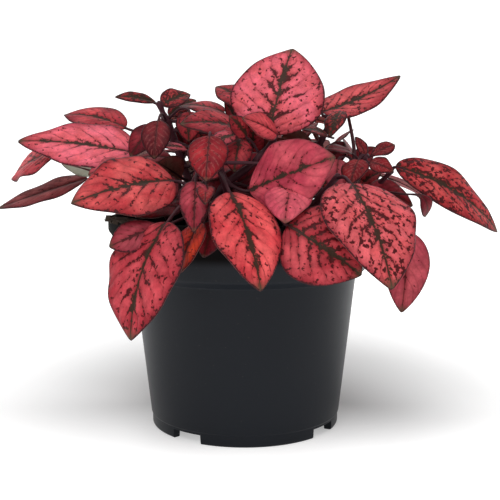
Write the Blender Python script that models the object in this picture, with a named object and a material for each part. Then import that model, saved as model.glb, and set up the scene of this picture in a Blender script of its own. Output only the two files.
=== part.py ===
"""Potted polka dot plant: a bushy plant of rooted cuttings in a black nursery pot.

Metres, +Z up, and the front is -Y. The origin is on the floor, under the middle of the pot.
Values in the tables are millimetres and degrees. Every leafy stem is one grown piece: a stalk, its
petioles and its blades are joined in one solid, which stands in a plain hole in the soil.
"""
import math
from collections import namedtuple

import bmesh
import bpy
import numpy as np
from mathutils.bvhtree import BVHTree

MM = 0.001
GAP = 0.3
FLAT_ANGLES = (0.4, 0.04)

# Pot, turned about the Z axis
POT_HEIGHT = 92.0
RIM_RADIUS = 60.0
RIM_DEPTH = 5.6
COLLAR_TOP_RADIUS = 57.4
COLLAR_TOP = 83.0
COLLAR_FOOT_RADIUS = 53.3
COLLAR_FOOT = 69.4
SHOULDER_RADIUS = 49.1
SHOULDER = 66.5
FOOT_RADIUS = 41.7
FOOT_HEIGHT = 5.4
FOOT_STEP = 0.5
FOOT_WIDTH = 3.4
FLOOR_UNDER = 4.0
WALL = 1.2
EDGE = 0.8
POT_SIDES = 48
NOTCH_ANGLES = (-36.0, 54.0, 144.0, 234.0)
NOTCH_SPREAD = 20.0
DRAIN_RING = 25.0
DRAIN_RADIUS = 4.0
DRAIN_SIDES = 10

# Soil
SOIL_TOP = 82.0
SOIL_BUMP = 1.3
SOIL_RINGS = 5
SOIL_SIDES = 28

# Stalks, petioles and blades
STALK_RADIUS = 1.9
STALK_TIP_RADIUS = 1.0
STALK_SIDES = 6
PETIOLE_RADIUS = 1.0
PETIOLE_TIP_RADIUS = 0.75
PETIOLE_SIDES = 3
PETIOLE_SUNK = 0.35
BLADE_THICKNESS = 0.7
BLADE_STEPS = (4, 4)
YOUNG_STEPS = (3, 2)
YOUNG_LENGTH = 30.0
SHORT_PETIOLE = 5.0
OUTLINE_TIP = 0.9
END_HALF_WIDTH = 0.3

Leaf = namedtuple("Leaf", "at base tip width lean arch fold curl sweep belly")


def leaf(at, base, tip, width, lean=(0, 0), arch=0.07, fold=8, curl=0.14, sweep=0, belly=0.4):
    """One leaf: where its petiole leaves the stalk (0 foot, 1 top), its blade's ends and its form.

    lean tips the upper face over, per unit of height along X and Y; arch bows the midrib up, fold
    lifts both halves into a V, curl turns the margins down, sweep bends the midrib sideways and
    belly is how far along the blade is widest.
    """
    ends = np.array(base, float), np.array(tip, float)
    return Leaf(at, *ends, width, lean, arch, fold, curl, sweep, belly)


# Leafy stems of the front, placed one leaf at a time
STALKS = {
    "stem_left": [(-28, -4, 60), (-33, -6, 90), (-42, -9, 108), (-47, -10, 118)],
    "stem_front_left": [(-17, -18, 60), (-20, -26, 88), (-21, -38, 104), (-16, -52, 115)],
    "stem_front": [(-3, -20, 60), (-4, -30, 90), (-8, -42, 108), (-13, -48, 126)],
    "stem_top": [(-8, -12, 60), (-13, -26, 92), (-10, -32, 104), (3, -35, 115), (12, -33, 124)],
    "stem_front_right": [(20, -20, 60), (22, -30, 88), (30, -38, 102), (37, -42, 111)],
    "stem_right": [(33, -4, 60), (38, -10, 90), (46, -20, 108), (49, -26, 119)],
    "stem_far_right": [(40, 8, 60), (46, 4, 88), (56, -8, 104), (62, -16, 112)],
    "stem_upper_right": [(17, 6, 60), (20, 4, 92), (30, -4, 118), (37, -10, 134)],
    "stem_upper_left": [(-14, 0, 60), (-20, 0, 92), (-30, -2, 122), (-37, -6, 141)],
}

LEAVES = {
    "stem_left": [
        leaf(0.96, (-47, -9, 119.5), (-98, -6, 124.5), 29, lean=(0, -0.85), arch=0.04, belly=0.34),
        leaf(0.80, (-81, -4, 121), (-105, 8, 108), 27, lean=(0.2, -0.7)),
        leaf(0.70, (-69, -4, 108.5), (-110, 2, 95), 16, lean=(0, -0.6), arch=0.01),
        leaf(0.85, (-50, -18, 114), (-65, -22, 110.5), 14, lean=(0, -0.8)),
        leaf(0.80, (-64.7, -8, 111.4), (-78.5, -10, 114.8), 8, lean=(0, 2)),
    ],
    "stem_front_left": [
        leaf(0.75, (-28, -40, 108.7), (-65.3, -56, 100.4), 32, lean=(0, -1.0), belly=0.38),
        leaf(0.60, (-29, -60, 94), (-41, -74, 52), 37, sweep=0.03, belly=0.40),
        leaf(0.96, (-18, -60, 109), (-18, -71, 91), 12, fold=24),
        leaf(0.96, (-14, -61, 107), (-14, -71, 101), 7, fold=24),
        leaf(0.55, (-16, -63, 94), (-23, -68, 76), 17),
        leaf(0.60, (-27, -36, 98), (-42, -50, 95), 14, lean=(0, -0.6)),
    ],
    "stem_front": [
        leaf(0.80, (-5, -61, 105), (6, -80, 71), 28.5),
        leaf(1.0, (-13, -54, 126), (-14, -64, 109), 15, lean=(0, -1)),
        leaf(0.85, (2, -47, 105), (34, -58, 118), 29, lean=(0, -1.8), arch=0.03, belly=0.46),
        leaf(0.85, (18, -52, 108), (15, -66, 94), 18),
    ],
    "stem_top": [
        leaf(1.0, (10, -28, 127), (20, -12, 163), 39, lean=(0, -0.6), fold=4, curl=0.06, belly=0.38),
        leaf(1.0, (13, -33, 127), (-1, -39, 133), 14, lean=(0, -1)),
        leaf(0.90, (18, -30, 122), (31, -37, 121), 10, lean=(0, -0.3)),
        leaf(0.75, (-2, -34, 125), (-4, -42, 112), 12, lean=(0, -1)),
        leaf(0.90, (-4, -38, 127), (-13, -44, 122), 8, lean=(0, -1)),
        leaf(0.97, (2, -2, 140), (-13, 10, 149), 15, lean=(0, -0.8)),
        leaf(0.80, (1, -35, 126), (-6, -37, 134), 9, lean=(0, -1.2)),
    ],
    "stem_front_right": [
        leaf(0.97, (41, -52, 108), (53, -76, 71), 39, fold=6, curl=0.1, belly=0.34),
        leaf(0.70, (16, -63, 93), (43, -68, 75), 32, lean=(0, -2.5)),
    ],
    "stem_right": [
        leaf(1.0, (46, -32, 117), (42, -40, 107), 11),
        leaf(1.0, (51, -27, 118), (61.5, -26, 122.8), 7, lean=(0, -1), belly=0.62),
        leaf(1.0, (49.5, -27, 118.5), (45, -28, 126), 5, lean=(0, -1)),
        leaf(0.97, (51, -29, 116), (60, -32, 112), 9, lean=(0, -1)),
        leaf(0.90, (44, -22, 120), (33, -26, 121), 10, lean=(0, -0.4)),
        leaf(0.90, (38, -30, 117), (36, -35, 104), 11, lean=(0, -1)),
        leaf(0.60, (66, -36, 88), (62, -46, 57), 18, lean=(0, -2)),
    ],
    "stem_far_right": [
        leaf(1.0, (63, -20, 114), (111, -4, 85), 24, lean=(0, -1), arch=0.10),
        leaf(0.75, (67, -27, 103), (74, -29, 93.5), 8, lean=(0.3, -0.9), arch=0.45, belly=0.72),
        leaf(0.70, (53, -13, 105), (72, -12, 97), 15, lean=(0, -1)),
    ],
    "stem_upper_right": [
        leaf(1.0, (33, -8, 137), (68, 2, 153), 19, lean=(0, -0.8), arch=-0.05, belly=0.34),
        leaf(0.97, (40, -16, 137), (35, -26, 126), 9),
        leaf(0.90, (34, -24, 127), (23, -28, 129), 9, lean=(0, -0.5)),
    ],
    "stem_upper_left": [
        leaf(1.0, (-38, -6, 141), (-55, -11, 143), 7, lean=(0, -1), fold=22, curl=0.3, belly=0.5),
        leaf(1.0, (-36, -4, 140), (-24, 2, 145), 12, lean=(0, -1), fold=16),
        leaf(0.80, (-54, 12, 131), (-84, 22, 137), 20, lean=(0, -0.6)),
        leaf(0.90, (-36, -20, 133), (-37, -27, 117), 12, lean=(0, -1)),
        leaf(0.85, (-38, -14, 131), (-48, -18, 118), 12, lean=(0, -1)),
        leaf(0.90, (-23.4, -12, 137), (-23.6, -16, 124), 11, lean=(0, -1)),
        leaf(0.70, (-33, 3, 117.3), (-48.7, 5, 116.4), 13, lean=(0, -0.5)),
        leaf(0.80, (-24, -20, 121), (-35, -24, 122), 10, lean=(0, -0.4)),
        leaf(0.90, (-9, -4, 137), (-29, 4, 140), 14, lean=(0, -0.4)),
        leaf(0.85, (-2, -22, 130), (-26, -30, 131), 18, lean=(0, -0.8)),
    ],
}

# Tiers of a rear stem: share up the stalk, turn from its way out, distance of the blade's base from
# the middle and its height (0 is just above the top), blade's length, droop and width
REAR_TIERS = [
    (0.45, -8, 64, 97, 38, 70, 26),
    (0.55, 8, 66, 102, 38, 60, 25),
    (0.75, 0, 52, 111, 34, 24, 26),
    (0.95, 14, 39, 0, 32, 10, 20),
]
RIGHT_TIERS = [
    (0.45, -10, 64, 99, 30, 66, 22),
    (0.75, 0, 56, 111, 32, 24, 23),
    (0.95, 15, 39, 0, 27, 10, 19),
]
LEFT_TIERS = [(0.80, 0, 54, 111, 32, 18, 23)]
MIDDLE_TIERS = [
    (0.93, -62, 22, 0, 27, 8, 21),
    (0.96, 0, 24, 0, 27, 4, 21),
    (0.90, 58, 22, 0, 27, 10, 21),
]
# Leafy stems of the back: way out from the middle, foot and top distance from it, height, tiers
REAR_STEMS = {
    "stem_rear_1": (14, 30, 38, 119, RIGHT_TIERS),
    "stem_rear_2": (42, 24, 33, 123, REAR_TIERS),
    "stem_rear_3": (70, 31, 35, 118, REAR_TIERS),
    "stem_rear_4": (99, 24, 32, 123, REAR_TIERS),
    "stem_rear_5": (127, 30, 36, 118, REAR_TIERS),
    "stem_rear_6": (160, 26, 34, 112, LEFT_TIERS),
    "stem_middle": (90, 11, 14, 134, MIDDLE_TIERS),
}
YOUNG_PAIR = [(0, 14, 40, 8), (180, 12, 55, 7)]
YOUNG_LIFT = 2.0
SEED = 7
TURN_SPREAD = 2.0
DROOP_SPREAD = 4.0
LENGTH_SPREAD = 0.06

# Small leaves among the stalks, tried at seeded places and kept where they are clear of the others
FILL_COUNT = 36
FILL_TRIES = 3000
FILL_SHARE = (0.42, 0.92)
FILL_PETIOLE = (5, 11)
FILL_LENGTH = (19, 29)
FILL_SLIM = 0.7
FILL_CLIMB = (-35, 45)
FILL_RADIUS = 52.0
FILL_FRONT = -36.0
FILL_HEIGHTS = (94.0, 134.0)
FILL_LEAN = 1.3
FILL_SPARE = 0.7


def unit(vector):
    """The same direction with length one."""
    return vector / np.linalg.norm(vector, axis=-1, keepdims=True)


def path_point(points, share):
    """The point at a share of a path's length, on straight runs between its points."""
    points = np.array(points, float)
    steps = np.linalg.norm(np.diff(points, axis=0), axis=1)
    reach = np.concatenate([[0.0], np.cumsum(steps)]) / steps.sum()
    return np.array([np.interp(share, reach, points[:, axis]) for axis in range(3)])


def outline(along, belly):
    """Half-width of an ovate blade: powers of the ways to its base and to its tip, multiplied."""
    base_power = OUTLINE_TIP * belly / (1 - belly)
    shape = along ** base_power * (1 - along) ** OUTLINE_TIP
    return shape / (belly ** base_power * (1 - belly) ** OUTLINE_TIP)


def blade_grid(spec, along, across):
    """Points of a blade: a bowed midrib, both halves lifted by the fold and turned down by the curl."""
    span = spec.tip - spec.base
    length = np.linalg.norm(span)
    forward = span / length
    upward = np.array([*spec.lean, 1.0])
    face = unit(upward - forward * (upward @ forward))
    side = np.cross(forward, face)
    u = along[:, None, None]
    v = across[None, :, None]
    bow = 4 * u * (1 - u) * length
    half = outline(u, spec.belly) * spec.width / 2 + END_HALF_WIDTH
    fold = math.radians(spec.fold)
    lift = half * (abs(v) * math.sin(fold) - spec.curl * v * v)
    return (
        spec.base
        + span * u
        + face * (bow * spec.arch + lift)
        + side * (bow * spec.sweep + half * v * math.cos(fold))
    )


def sheet_solid(grid, thickness):
    """Closes a grid into a thin solid: both faces have the same triangles, and a band joins their edges."""
    rows, columns = grid.shape[:2]
    normal = unit(np.cross(np.gradient(grid, axis=0), np.gradient(grid, axis=1)))
    shift = normal * thickness / 2
    points = np.concatenate([(grid + shift).reshape(-1, 3), (grid - shift).reshape(-1, 3)])
    index = np.arange(rows * columns).reshape(rows, columns)
    a, b = index[:-1, :-1].ravel(), index[1:, :-1].ravel()
    c, d = index[1:, 1:].ravel(), index[:-1, 1:].ravel()
    upper = np.concatenate([np.stack([a, b, c], 1), np.stack([a, c, d], 1)])
    lower = upper[:, ::-1] + rows * columns
    ring = np.concatenate([index[0, :-1], index[:-1, -1], index[-1, :0:-1], index[:0:-1, 0]])
    after = np.roll(ring, -1)
    under = rows * columns
    band = np.concatenate([
        np.stack([ring, after, after + under], 1),
        np.stack([ring, after + under, ring + under], 1),
    ])
    return points, np.concatenate([upper, lower, band])


def tube_solid(path, radii, sides):
    """A closed tube: a regular ring about each point of the path, square to it, with flat ends."""
    path = np.array(path, float)
    heading = unit(np.gradient(path, axis=0))
    helper = np.eye(3)[np.argmin(abs(path[-1] - path[0]))]
    first = unit(np.cross(heading, helper))
    second = np.cross(heading, first)
    turn = np.linspace(0, 2 * math.pi, sides, endpoint=False)[None, :, None]
    radii = np.array(radii, float)[:, None, None]
    rings = path[:, None] + radii * (first[:, None] * np.cos(turn) + second[:, None] * np.sin(turn))
    count = len(path)
    points = np.concatenate([rings.reshape(-1, 3), path[[0, -1]]])
    index = np.arange(count * sides).reshape(count, sides)
    a, b = index[:-1].ravel(), np.roll(index[:-1], -1, axis=1).ravel()
    c, d = np.roll(index[1:], -1, axis=1).ravel(), index[1:].ravel()
    wall = np.concatenate([np.stack([a, b, c], 1), np.stack([a, c, d], 1)])
    start, end = count * sides, count * sides + 1
    ends = np.concatenate([
        np.stack([np.roll(index[0], -1), index[0], np.full(sides, start)], 1),
        np.stack([index[-1], np.roll(index[-1], -1), np.full(sides, end)], 1),
    ])
    return points, np.concatenate([wall, ends])


def blade_steps(spec, steps, young_steps):
    """Places of a blade's rows and columns: closer rows at the ends, and fewer on a young leaf."""
    young = np.linalg.norm(spec.tip - spec.base) < YOUNG_LENGTH
    rows, columns = young_steps if young else steps
    along = 0.5 - 0.5 * np.cos(np.linspace(0, math.pi, rows + 1))
    return along, np.linspace(-1, 1, columns + 1)


def petiole_path(spec, stalk, grid):
    """From the stalk's middle into the blade, arriving along its midrib."""
    start = path_point(stalk, spec.at)
    base, end = grid[:2, grid.shape[1] // 2]
    reach = np.linalg.norm(base - start)
    end = base + (end - base) * PETIOLE_SUNK
    if reach < SHORT_PETIOLE:
        return np.array([start, end])
    bend = base - unit(end - base) * reach * 0.45
    return np.array([start, 0.3 * start + 0.5 * bend + 0.2 * base, end])


def around(angle, radius, height):
    """A point at an angle about the pot's axis, in degrees from +X."""
    turn = math.radians(angle)
    return np.array([radius * math.cos(turn), radius * math.sin(turn), height])


def rear_stem(way_out, foot, top, height, tiers, random):
    """A rear stem's stalk, upright and then leaning out, and its leaves in tiers, a little varied."""
    levels = np.array([60.0, 90.0, (90 + height) / 2, height])
    spread = foot + (top - foot) * np.array([0.0, 0.2, 0.6, 1.0])
    stalk = [around(way_out, radius, level) for radius, level in zip(spread, levels)]
    leaves = []
    for at, turn, radius, level, length, droop, width in tiers:
        heading = way_out + turn + random.uniform(-TURN_SPREAD, TURN_SPREAD)
        fall = math.radians(droop + random.uniform(-DROOP_SPREAD, DROOP_SPREAD))
        size = 1 + random.uniform(-LENGTH_SPREAD, LENGTH_SPREAD)
        base = around(heading, radius, level or height + YOUNG_LIFT)
        tip = base + size * around(heading, length * math.cos(fall), -length * math.sin(fall))
        leaves.append(leaf(at, base, tip, width * size))
    for turn, length, climb, width in YOUNG_PAIR:
        heading = way_out + turn + random.uniform(-TURN_SPREAD, TURN_SPREAD)
        rise = math.radians(climb)
        base = stalk[-1] + around(heading, YOUNG_LIFT, YOUNG_LIFT)
        tip = base + around(heading, length * math.cos(rise), length * math.sin(rise))
        leaves.append(leaf(1.0, base, tip, width))
    return stalk, leaves


def leaf_solids(spec, stalk, spare=0.0):
    """The blade and the petiole of one leaf as points and faces, grown on every side by the spare."""
    grown = spec._replace(width=spec.width + 2 * spare)
    grid = blade_grid(grown, *blade_steps(spec, BLADE_STEPS, YOUNG_STEPS))
    way = petiole_path(spec, stalk, grid)
    radii = np.linspace(PETIOLE_RADIUS, PETIOLE_TIP_RADIUS, len(way)) + spare
    return sheet_solid(grid, BLADE_THICKNESS + 2 * spare), tube_solid(way, radii, PETIOLE_SIDES)


def stalk_solid(stalk):
    """The stalk as points and faces."""
    return tube_solid(stalk, np.linspace(STALK_RADIUS, STALK_TIP_RADIUS, len(stalk)), STALK_SIDES)


def search_tree(solid):
    """A tree that finds where a solid meets another."""
    points, faces = solid
    return BVHTree.FromPolygons(points.tolist(), faces.tolist())


def small_leaf(stalk, random):
    """One seeded try of a small leaf on a stalk, with its upper face turned outward."""
    at = random.uniform(*FILL_SHARE)
    heading, climb = random.uniform(0, 360), math.radians(random.uniform(*FILL_CLIMB))
    length = random.uniform(*FILL_LENGTH)
    base = path_point(stalk, at) + around(heading, random.uniform(*FILL_PETIOLE), 4 * math.sin(climb))
    tip = base + around(heading, length * math.cos(climb), length * math.sin(climb))
    lean = FILL_LEAN * unit((base + tip)[:2])
    return leaf(at, base, tip, FILL_SLIM * length, lean=lean)


def fill_stems(stems):
    """Adds the small leaves in turn, stem by stem, where the place is inside the plant and free."""
    random = np.random.default_rng(SEED)
    stalks = [search_tree(stalk_solid(stalk)) for _, stalk, _ in stems]
    grown = [[search_tree(solid) for spec in leaves for solid in leaf_solids(spec, stalk)]
             for _, stalk, leaves in stems]
    kept = 0
    for count in range(FILL_TRIES):
        number = count % len(stems)
        _, stalk, leaves = stems[number]
        spec = small_leaf(stalk, random)
        ends = np.array([spec.base, spec.tip])
        low, high = ends[:, 2].min(), ends[:, 2].max()
        if (low < FILL_HEIGHTS[0] or high > FILL_HEIGHTS[1] or ends[:, 1].min() < FILL_FRONT
                or np.hypot(ends[:, 0], ends[:, 1]).max() > FILL_RADIUS):
            continue
        solids = [search_tree(solid) for solid in leaf_solids(spec, stalk, FILL_SPARE)]
        others = [tree for trees in grown for tree in trees]
        others += stalks[:number] + stalks[number + 1:]
        if any(solid.overlap(tree) for solid in solids for tree in others):
            continue
        leaves.append(spec)
        grown[number] += [search_tree(solid) for solid in leaf_solids(spec, stalk)]
        kept += 1
        if kept == FILL_COUNT:
            break


def all_stems():
    """Every leafy stem's name, stalk and leaves."""
    stems = [(name, STALKS[name], list(LEAVES[name])) for name in STALKS]
    random = np.random.default_rng(SEED)
    for name, form in REAR_STEMS.items():
        stems.append((name, *rear_stem(*form, random)))
    fill_stems(stems)
    return stems


def new_mesh(name, points, faces):
    """A mesh from points in millimetres."""
    mesh = bpy.data.meshes.new(name)
    mesh.from_pydata((points * MM).tolist(), [], faces.tolist())
    mesh.validate()
    return mesh


def new_object(name, mesh, material):
    """An object in the scene, with its material."""
    item = bpy.data.objects.new(name, mesh)
    bpy.context.scene.collection.objects.link(item)
    item.data.materials.clear()
    item.data.materials.append(material)
    return item


def new_material(name, colour, roughness):
    """A Principled material of one colour."""
    material = bpy.data.materials.new(name)
    material.use_nodes = True
    shader = material.node_tree.nodes["Principled BSDF"]
    shader.inputs["Base Color"].default_value = (*colour, 1.0)
    shader.inputs["Roughness"].default_value = roughness
    shader.inputs["Metallic"].default_value = 0.0
    material.diffuse_color = (*colour, 1.0)
    return material


def merge_flat_faces(mesh):
    """Merges the slivers that a Boolean leaves on flat faces, where the mesh stays closed."""
    for flat_angle in FLAT_ANGLES:
        shape = bmesh.new()
        shape.from_mesh(mesh)
        limit = math.radians(flat_angle)
        bmesh.ops.dissolve_limit(shape, angle_limit=limit, verts=shape.verts, edges=shape.edges)
        bmesh.ops.triangulate(shape, faces=shape.faces)
        closed = all(edge.is_manifold for edge in shape.edges)
        if closed:
            shape.to_mesh(mesh)
        shape.free()
        if closed:
            return


def fuse(body, meshes, operation="UNION", solver="EXACT"):
    """Joins meshes to an object, or cuts them from it, with one applied Boolean on a collection."""
    group = bpy.data.collections.new(body.name + "_pieces")
    bpy.context.scene.collection.children.link(group)
    for mesh in meshes:
        piece = bpy.data.objects.new(mesh.name, mesh)
        piece.hide_render = True
        piece.display_type = "WIRE"
        group.objects.link(piece)
    join = body.modifiers.new("join", "BOOLEAN")
    join.operation = operation
    join.operand_type = "COLLECTION"
    join.collection = group
    join.solver = solver
    view = bpy.context.evaluated_depsgraph_get()
    result = bpy.data.meshes.new_from_object(body.evaluated_get(view))
    body.modifiers.clear()
    material = body.data.materials[0]
    body.data = result
    merge_flat_faces(result)
    result.materials.clear()
    result.materials.append(material)
    result.polygons.foreach_set("material_index", np.zeros(len(result.polygons), dtype=np.int32))
    for piece in list(group.objects):
        bpy.data.objects.remove(piece)
    bpy.data.collections.remove(group)


def turned_mesh(name, profile, sides):
    """Turns a profile, from the axis round to the axis, or a closed one, about Z."""
    shape = bmesh.new()
    corners = [shape.verts.new((radius * MM, 0.0, height * MM)) for radius, height in profile]
    edges = [shape.edges.new(pair) for pair in zip(corners, corners[1:])]
    bmesh.ops.spin(
        shape,
        geom=corners + edges,
        axis=(0, 0, 1),
        cent=(0, 0, 0),
        angle=2 * math.pi,
        steps=sides,
    )
    bmesh.ops.remove_doubles(shape, verts=shape.verts, dist=1e-6)
    bmesh.ops.recalc_face_normals(shape, faces=shape.faces)
    mesh = bpy.data.meshes.new(name)
    shape.to_mesh(mesh)
    shape.free()
    return mesh


def wall_radius(height):
    """Outer radius of the pot's body at a height, on its taper."""
    return np.interp(height, [FOOT_HEIGHT, SHOULDER], [FOOT_RADIUS + FOOT_STEP, SHOULDER_RADIUS])


def pot_profile():
    """The pot's section, from the underside of its floor round the wall and rim to its inner floor."""
    floor_top = FLOOR_UNDER + WALL
    inner_foot = wall_radius(floor_top + EDGE) - WALL
    return [
        (0, FLOOR_UNDER),
        (FOOT_RADIUS - FOOT_WIDTH, FLOOR_UNDER),
        (FOOT_RADIUS - FOOT_WIDTH, 0),
        (FOOT_RADIUS - EDGE, 0),
        (FOOT_RADIUS - EDGE * 0.3, EDGE * 0.3),
        (FOOT_RADIUS, EDGE),
        (FOOT_RADIUS, FOOT_HEIGHT - FOOT_STEP),
        (FOOT_RADIUS + FOOT_STEP, FOOT_HEIGHT),
        (SHOULDER_RADIUS, SHOULDER),
        (COLLAR_FOOT_RADIUS, COLLAR_FOOT),
        (COLLAR_TOP_RADIUS, COLLAR_TOP),
        (RIM_RADIUS - EDGE, POT_HEIGHT - RIM_DEPTH),
        (RIM_RADIUS, POT_HEIGHT - RIM_DEPTH + EDGE),
        (RIM_RADIUS, POT_HEIGHT - EDGE),
        (RIM_RADIUS - EDGE, POT_HEIGHT),
        (RIM_RADIUS - WALL - EDGE, POT_HEIGHT),
        (RIM_RADIUS - WALL - 2 * EDGE, POT_HEIGHT - EDGE),
        (COLLAR_TOP_RADIUS - WALL, COLLAR_TOP),
        (COLLAR_FOOT_RADIUS - WALL, COLLAR_FOOT + WALL / 2),
        (SHOULDER_RADIUS - WALL, SHOULDER + WALL / 2),
        (inner_foot, floor_top + EDGE),
        (inner_foot - EDGE, floor_top),
        (0, floor_top),
    ]


def notch_solid(angle):
    """A block that cuts one drainage notch through the foot ring: a piece of a flat ring."""
    half = math.radians(NOTCH_SPREAD / 2)
    centre = math.radians(angle - 90)
    turn = centre + np.linspace(-half, half, 5)
    inner, outer = FOOT_RADIUS - FOOT_WIDTH - 2, FOOT_RADIUS + 3
    low, high = -2.0, FLOOR_UNDER
    rows = [(inner, low), (outer, low), (outer, high), (inner, high)]
    points = np.array([[r * np.cos(t), r * np.sin(t), z] for t in turn for r, z in rows])
    faces = []
    for step in range(len(turn) - 1):
        for corner in range(4):
            a, b = step * 4 + corner, step * 4 + (corner + 1) % 4
            faces += [(a, b, b + 4), (a, b + 4, a + 4)]
    last = 4 * (len(turn) - 1)
    faces += [(0, 2, 1), (0, 3, 2), (last, last + 1, last + 2), (last, last + 2, last + 3)]
    return points, np.array(faces)[:, ::-1]


def make_pot(material):
    """The nursery pot, with four notches in its foot ring and drain holes in its floor."""
    pot = new_object("pot", turned_mesh("pot", pot_profile(), POT_SIDES), material)
    cutters = [new_mesh("notch", *notch_solid(angle)) for angle in NOTCH_ANGLES]
    for angle in NOTCH_ANGLES:
        turn = math.radians(angle - 90)
        x, y = DRAIN_RING * math.cos(turn), DRAIN_RING * math.sin(turn)
        rod = [(x, y, -1.0), (x, y, FLOOR_UNDER + WALL + 1.0)]
        cutters.append(new_mesh("drain", *tube_solid(rod, [DRAIN_RADIUS] * 2, DRAIN_SIDES)))
    fuse(pot, cutters, "DIFFERENCE")
    pot.data.shade_smooth()
    pot.data.set_sharp_from_angle(angle=math.radians(25))
    return pot


def soil_height(x, y):
    """Height of the soil: gentle clods of a few crossed waves, and a little lower at the wall."""
    clods = np.sin(x * 0.31 + 1.2) * np.cos(y * 0.27 - 0.4) + 0.6 * np.sin(x * 0.13 - y * 0.22 + 2.0)
    return SOIL_TOP + SOIL_BUMP * clods - 0.0009 * (x * x + y * y)


def make_soil(material, feet):
    """The potting mix: it fills the pot, and each stalk stands in a plain hole."""
    floor = FLOOR_UNDER + WALL + GAP
    top_radius = np.interp(SOIL_TOP, [COLLAR_FOOT, COLLAR_TOP], [COLLAR_FOOT_RADIUS, COLLAR_TOP_RADIUS])
    profile = [
        (0, floor),
        (wall_radius(floor + EDGE) - WALL - GAP - 2 * EDGE, floor),
        (wall_radius(floor + 3 * EDGE) - WALL - 2 * GAP, floor + 3 * EDGE),
        (SHOULDER_RADIUS - WALL - 2 * GAP, SHOULDER + WALL),
        (COLLAR_FOOT_RADIUS - WALL - 4 * GAP, COLLAR_FOOT + 2 * WALL),
        (top_radius - WALL - 3 * GAP, SOIL_TOP - 1),
    ]
    rings = np.linspace(top_radius - WALL - 3 * GAP, 0, SOIL_RINGS + 1)[1:]
    profile += [(radius, SOIL_TOP) for radius in rings]
    mesh = turned_mesh("soil", profile, SOIL_SIDES)
    for vertex in mesh.vertices:
        x, y, z = (value / MM for value in vertex.co)
        if z > SOIL_TOP - 0.5:
            vertex.co.z = soil_height(x, y) * MM
    soil = new_object("soil", mesh, material)
    cutters = []
    for foot, knee in feet:
        hole = [foot - unit(knee - foot) * 2 * GAP, knee]
        cutters.append(new_mesh("hole", *tube_solid(hole, [STALK_RADIUS + 2 * GAP] * 2, 8)))
    fuse(soil, cutters, "DIFFERENCE")
    return soil


def make_stem(name, stalk, leaves, material):
    """One leafy stem: the stalk, with every petiole and blade joined to it."""
    stem = new_object(name, new_mesh(name, *stalk_solid(stalk)), material)
    solids = [solid for spec in leaves for solid in leaf_solids(spec, stalk)]
    fuse(stem, [new_mesh("piece", *solid) for solid in solids], solver="MANIFOLD")
    return stem


def main():
    """Clears the scene and makes the pot, the soil and the leafy stems."""
    for item in list(bpy.data.objects):
        bpy.data.objects.remove(item)
    plastic = new_material("black_plastic", (0.022, 0.024, 0.028), 0.45)
    mix = new_material("potting_mix", (0.045, 0.03, 0.02), 0.95)
    foliage = new_material("spotted_leaf", (0.62, 0.08, 0.11), 0.5)
    make_pot(plastic)
    feet = []
    for name, stalk, leaves in all_stems():
        make_stem(name, stalk, leaves, foliage)
        points = np.array(stalk, float)
        feet.append((points[0], points[1]))
    make_soil(mix, feet)


main()
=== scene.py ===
import math
from collections import namedtuple
from functools import partialmethod

import bpy
import numpy as np
from mathutils import Matrix
from mathutils.bvhtree import BVHTree


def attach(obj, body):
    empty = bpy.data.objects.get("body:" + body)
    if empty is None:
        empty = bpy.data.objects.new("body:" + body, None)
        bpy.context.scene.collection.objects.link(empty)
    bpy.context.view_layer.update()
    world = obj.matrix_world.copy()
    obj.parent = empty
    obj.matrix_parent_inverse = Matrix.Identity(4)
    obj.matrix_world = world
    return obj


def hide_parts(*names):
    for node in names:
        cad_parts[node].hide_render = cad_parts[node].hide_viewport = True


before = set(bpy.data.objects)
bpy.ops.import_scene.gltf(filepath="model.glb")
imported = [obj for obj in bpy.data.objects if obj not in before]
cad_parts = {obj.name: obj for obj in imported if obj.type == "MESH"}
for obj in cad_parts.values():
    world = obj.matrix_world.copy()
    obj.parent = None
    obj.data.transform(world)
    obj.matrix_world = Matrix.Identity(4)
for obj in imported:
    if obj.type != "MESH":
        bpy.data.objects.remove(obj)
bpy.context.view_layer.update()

# Potted polka dot plant: the looks. Tables are in millimetres and degrees, as in the part's source,
# and the leaf rules below give the same stems, petioles and blades, only finer.
MM = 0.001

# Form of stalks, petioles and blades, as on the solid plant
STALK_RADII = (1.9, 1.0)
STALK_SIDES = 6
PETIOLE_RADII = (1.0, 0.75)
PETIOLE_SIDES = 3
PETIOLE_SUNK = 0.35
BLADE_THICKNESS = 0.7
BLADE_STEPS = (4, 4)
YOUNG_STEPS = (3, 2)
YOUNG_LENGTH = 30.0
SHORT_PETIOLE = 5.0
OUTLINE_TIP = 0.9
END_HALF_WIDTH = 0.3

# Finer form that only the looks have, and the tones of stalks and petioles from foot to tip
FINE_THICKNESS = 0.42
ROWS_PER_MM = 1.15
COLUMNS_PER_MM = 1.1
MOST_ROWS = 60
MOST_COLUMNS = 44
SIDE_VEINS = 7.0
VEIN_LEAN = 0.30
VEIN_BEND = 0.08
QUILT_RISE = 0.011
SOFT_FOLD = 0.022
MIDRIB_GROOVE = 0.35
MARGIN_WAVE = 0.022
TUBE_SIDES = 12
NODE_SWELL = 0.28
POINT_RADIUS = 0.001
STALK_POINTS = 40
PETIOLE_POINTS = 34
MIDRIB_PICKS = 7
MIDRIB_SHARE = 0.82
THIN_EDGE = 0.35
FULL_TURN = 6.28
STALK_TONES = (np.array((0.034, 0.008, 0.014)), np.array((0.060, 0.012, 0.020)))
PETIOLE_TONES = (np.array((0.045, 0.010, 0.018)), np.array((0.070, 0.018, 0.020)))

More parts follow.
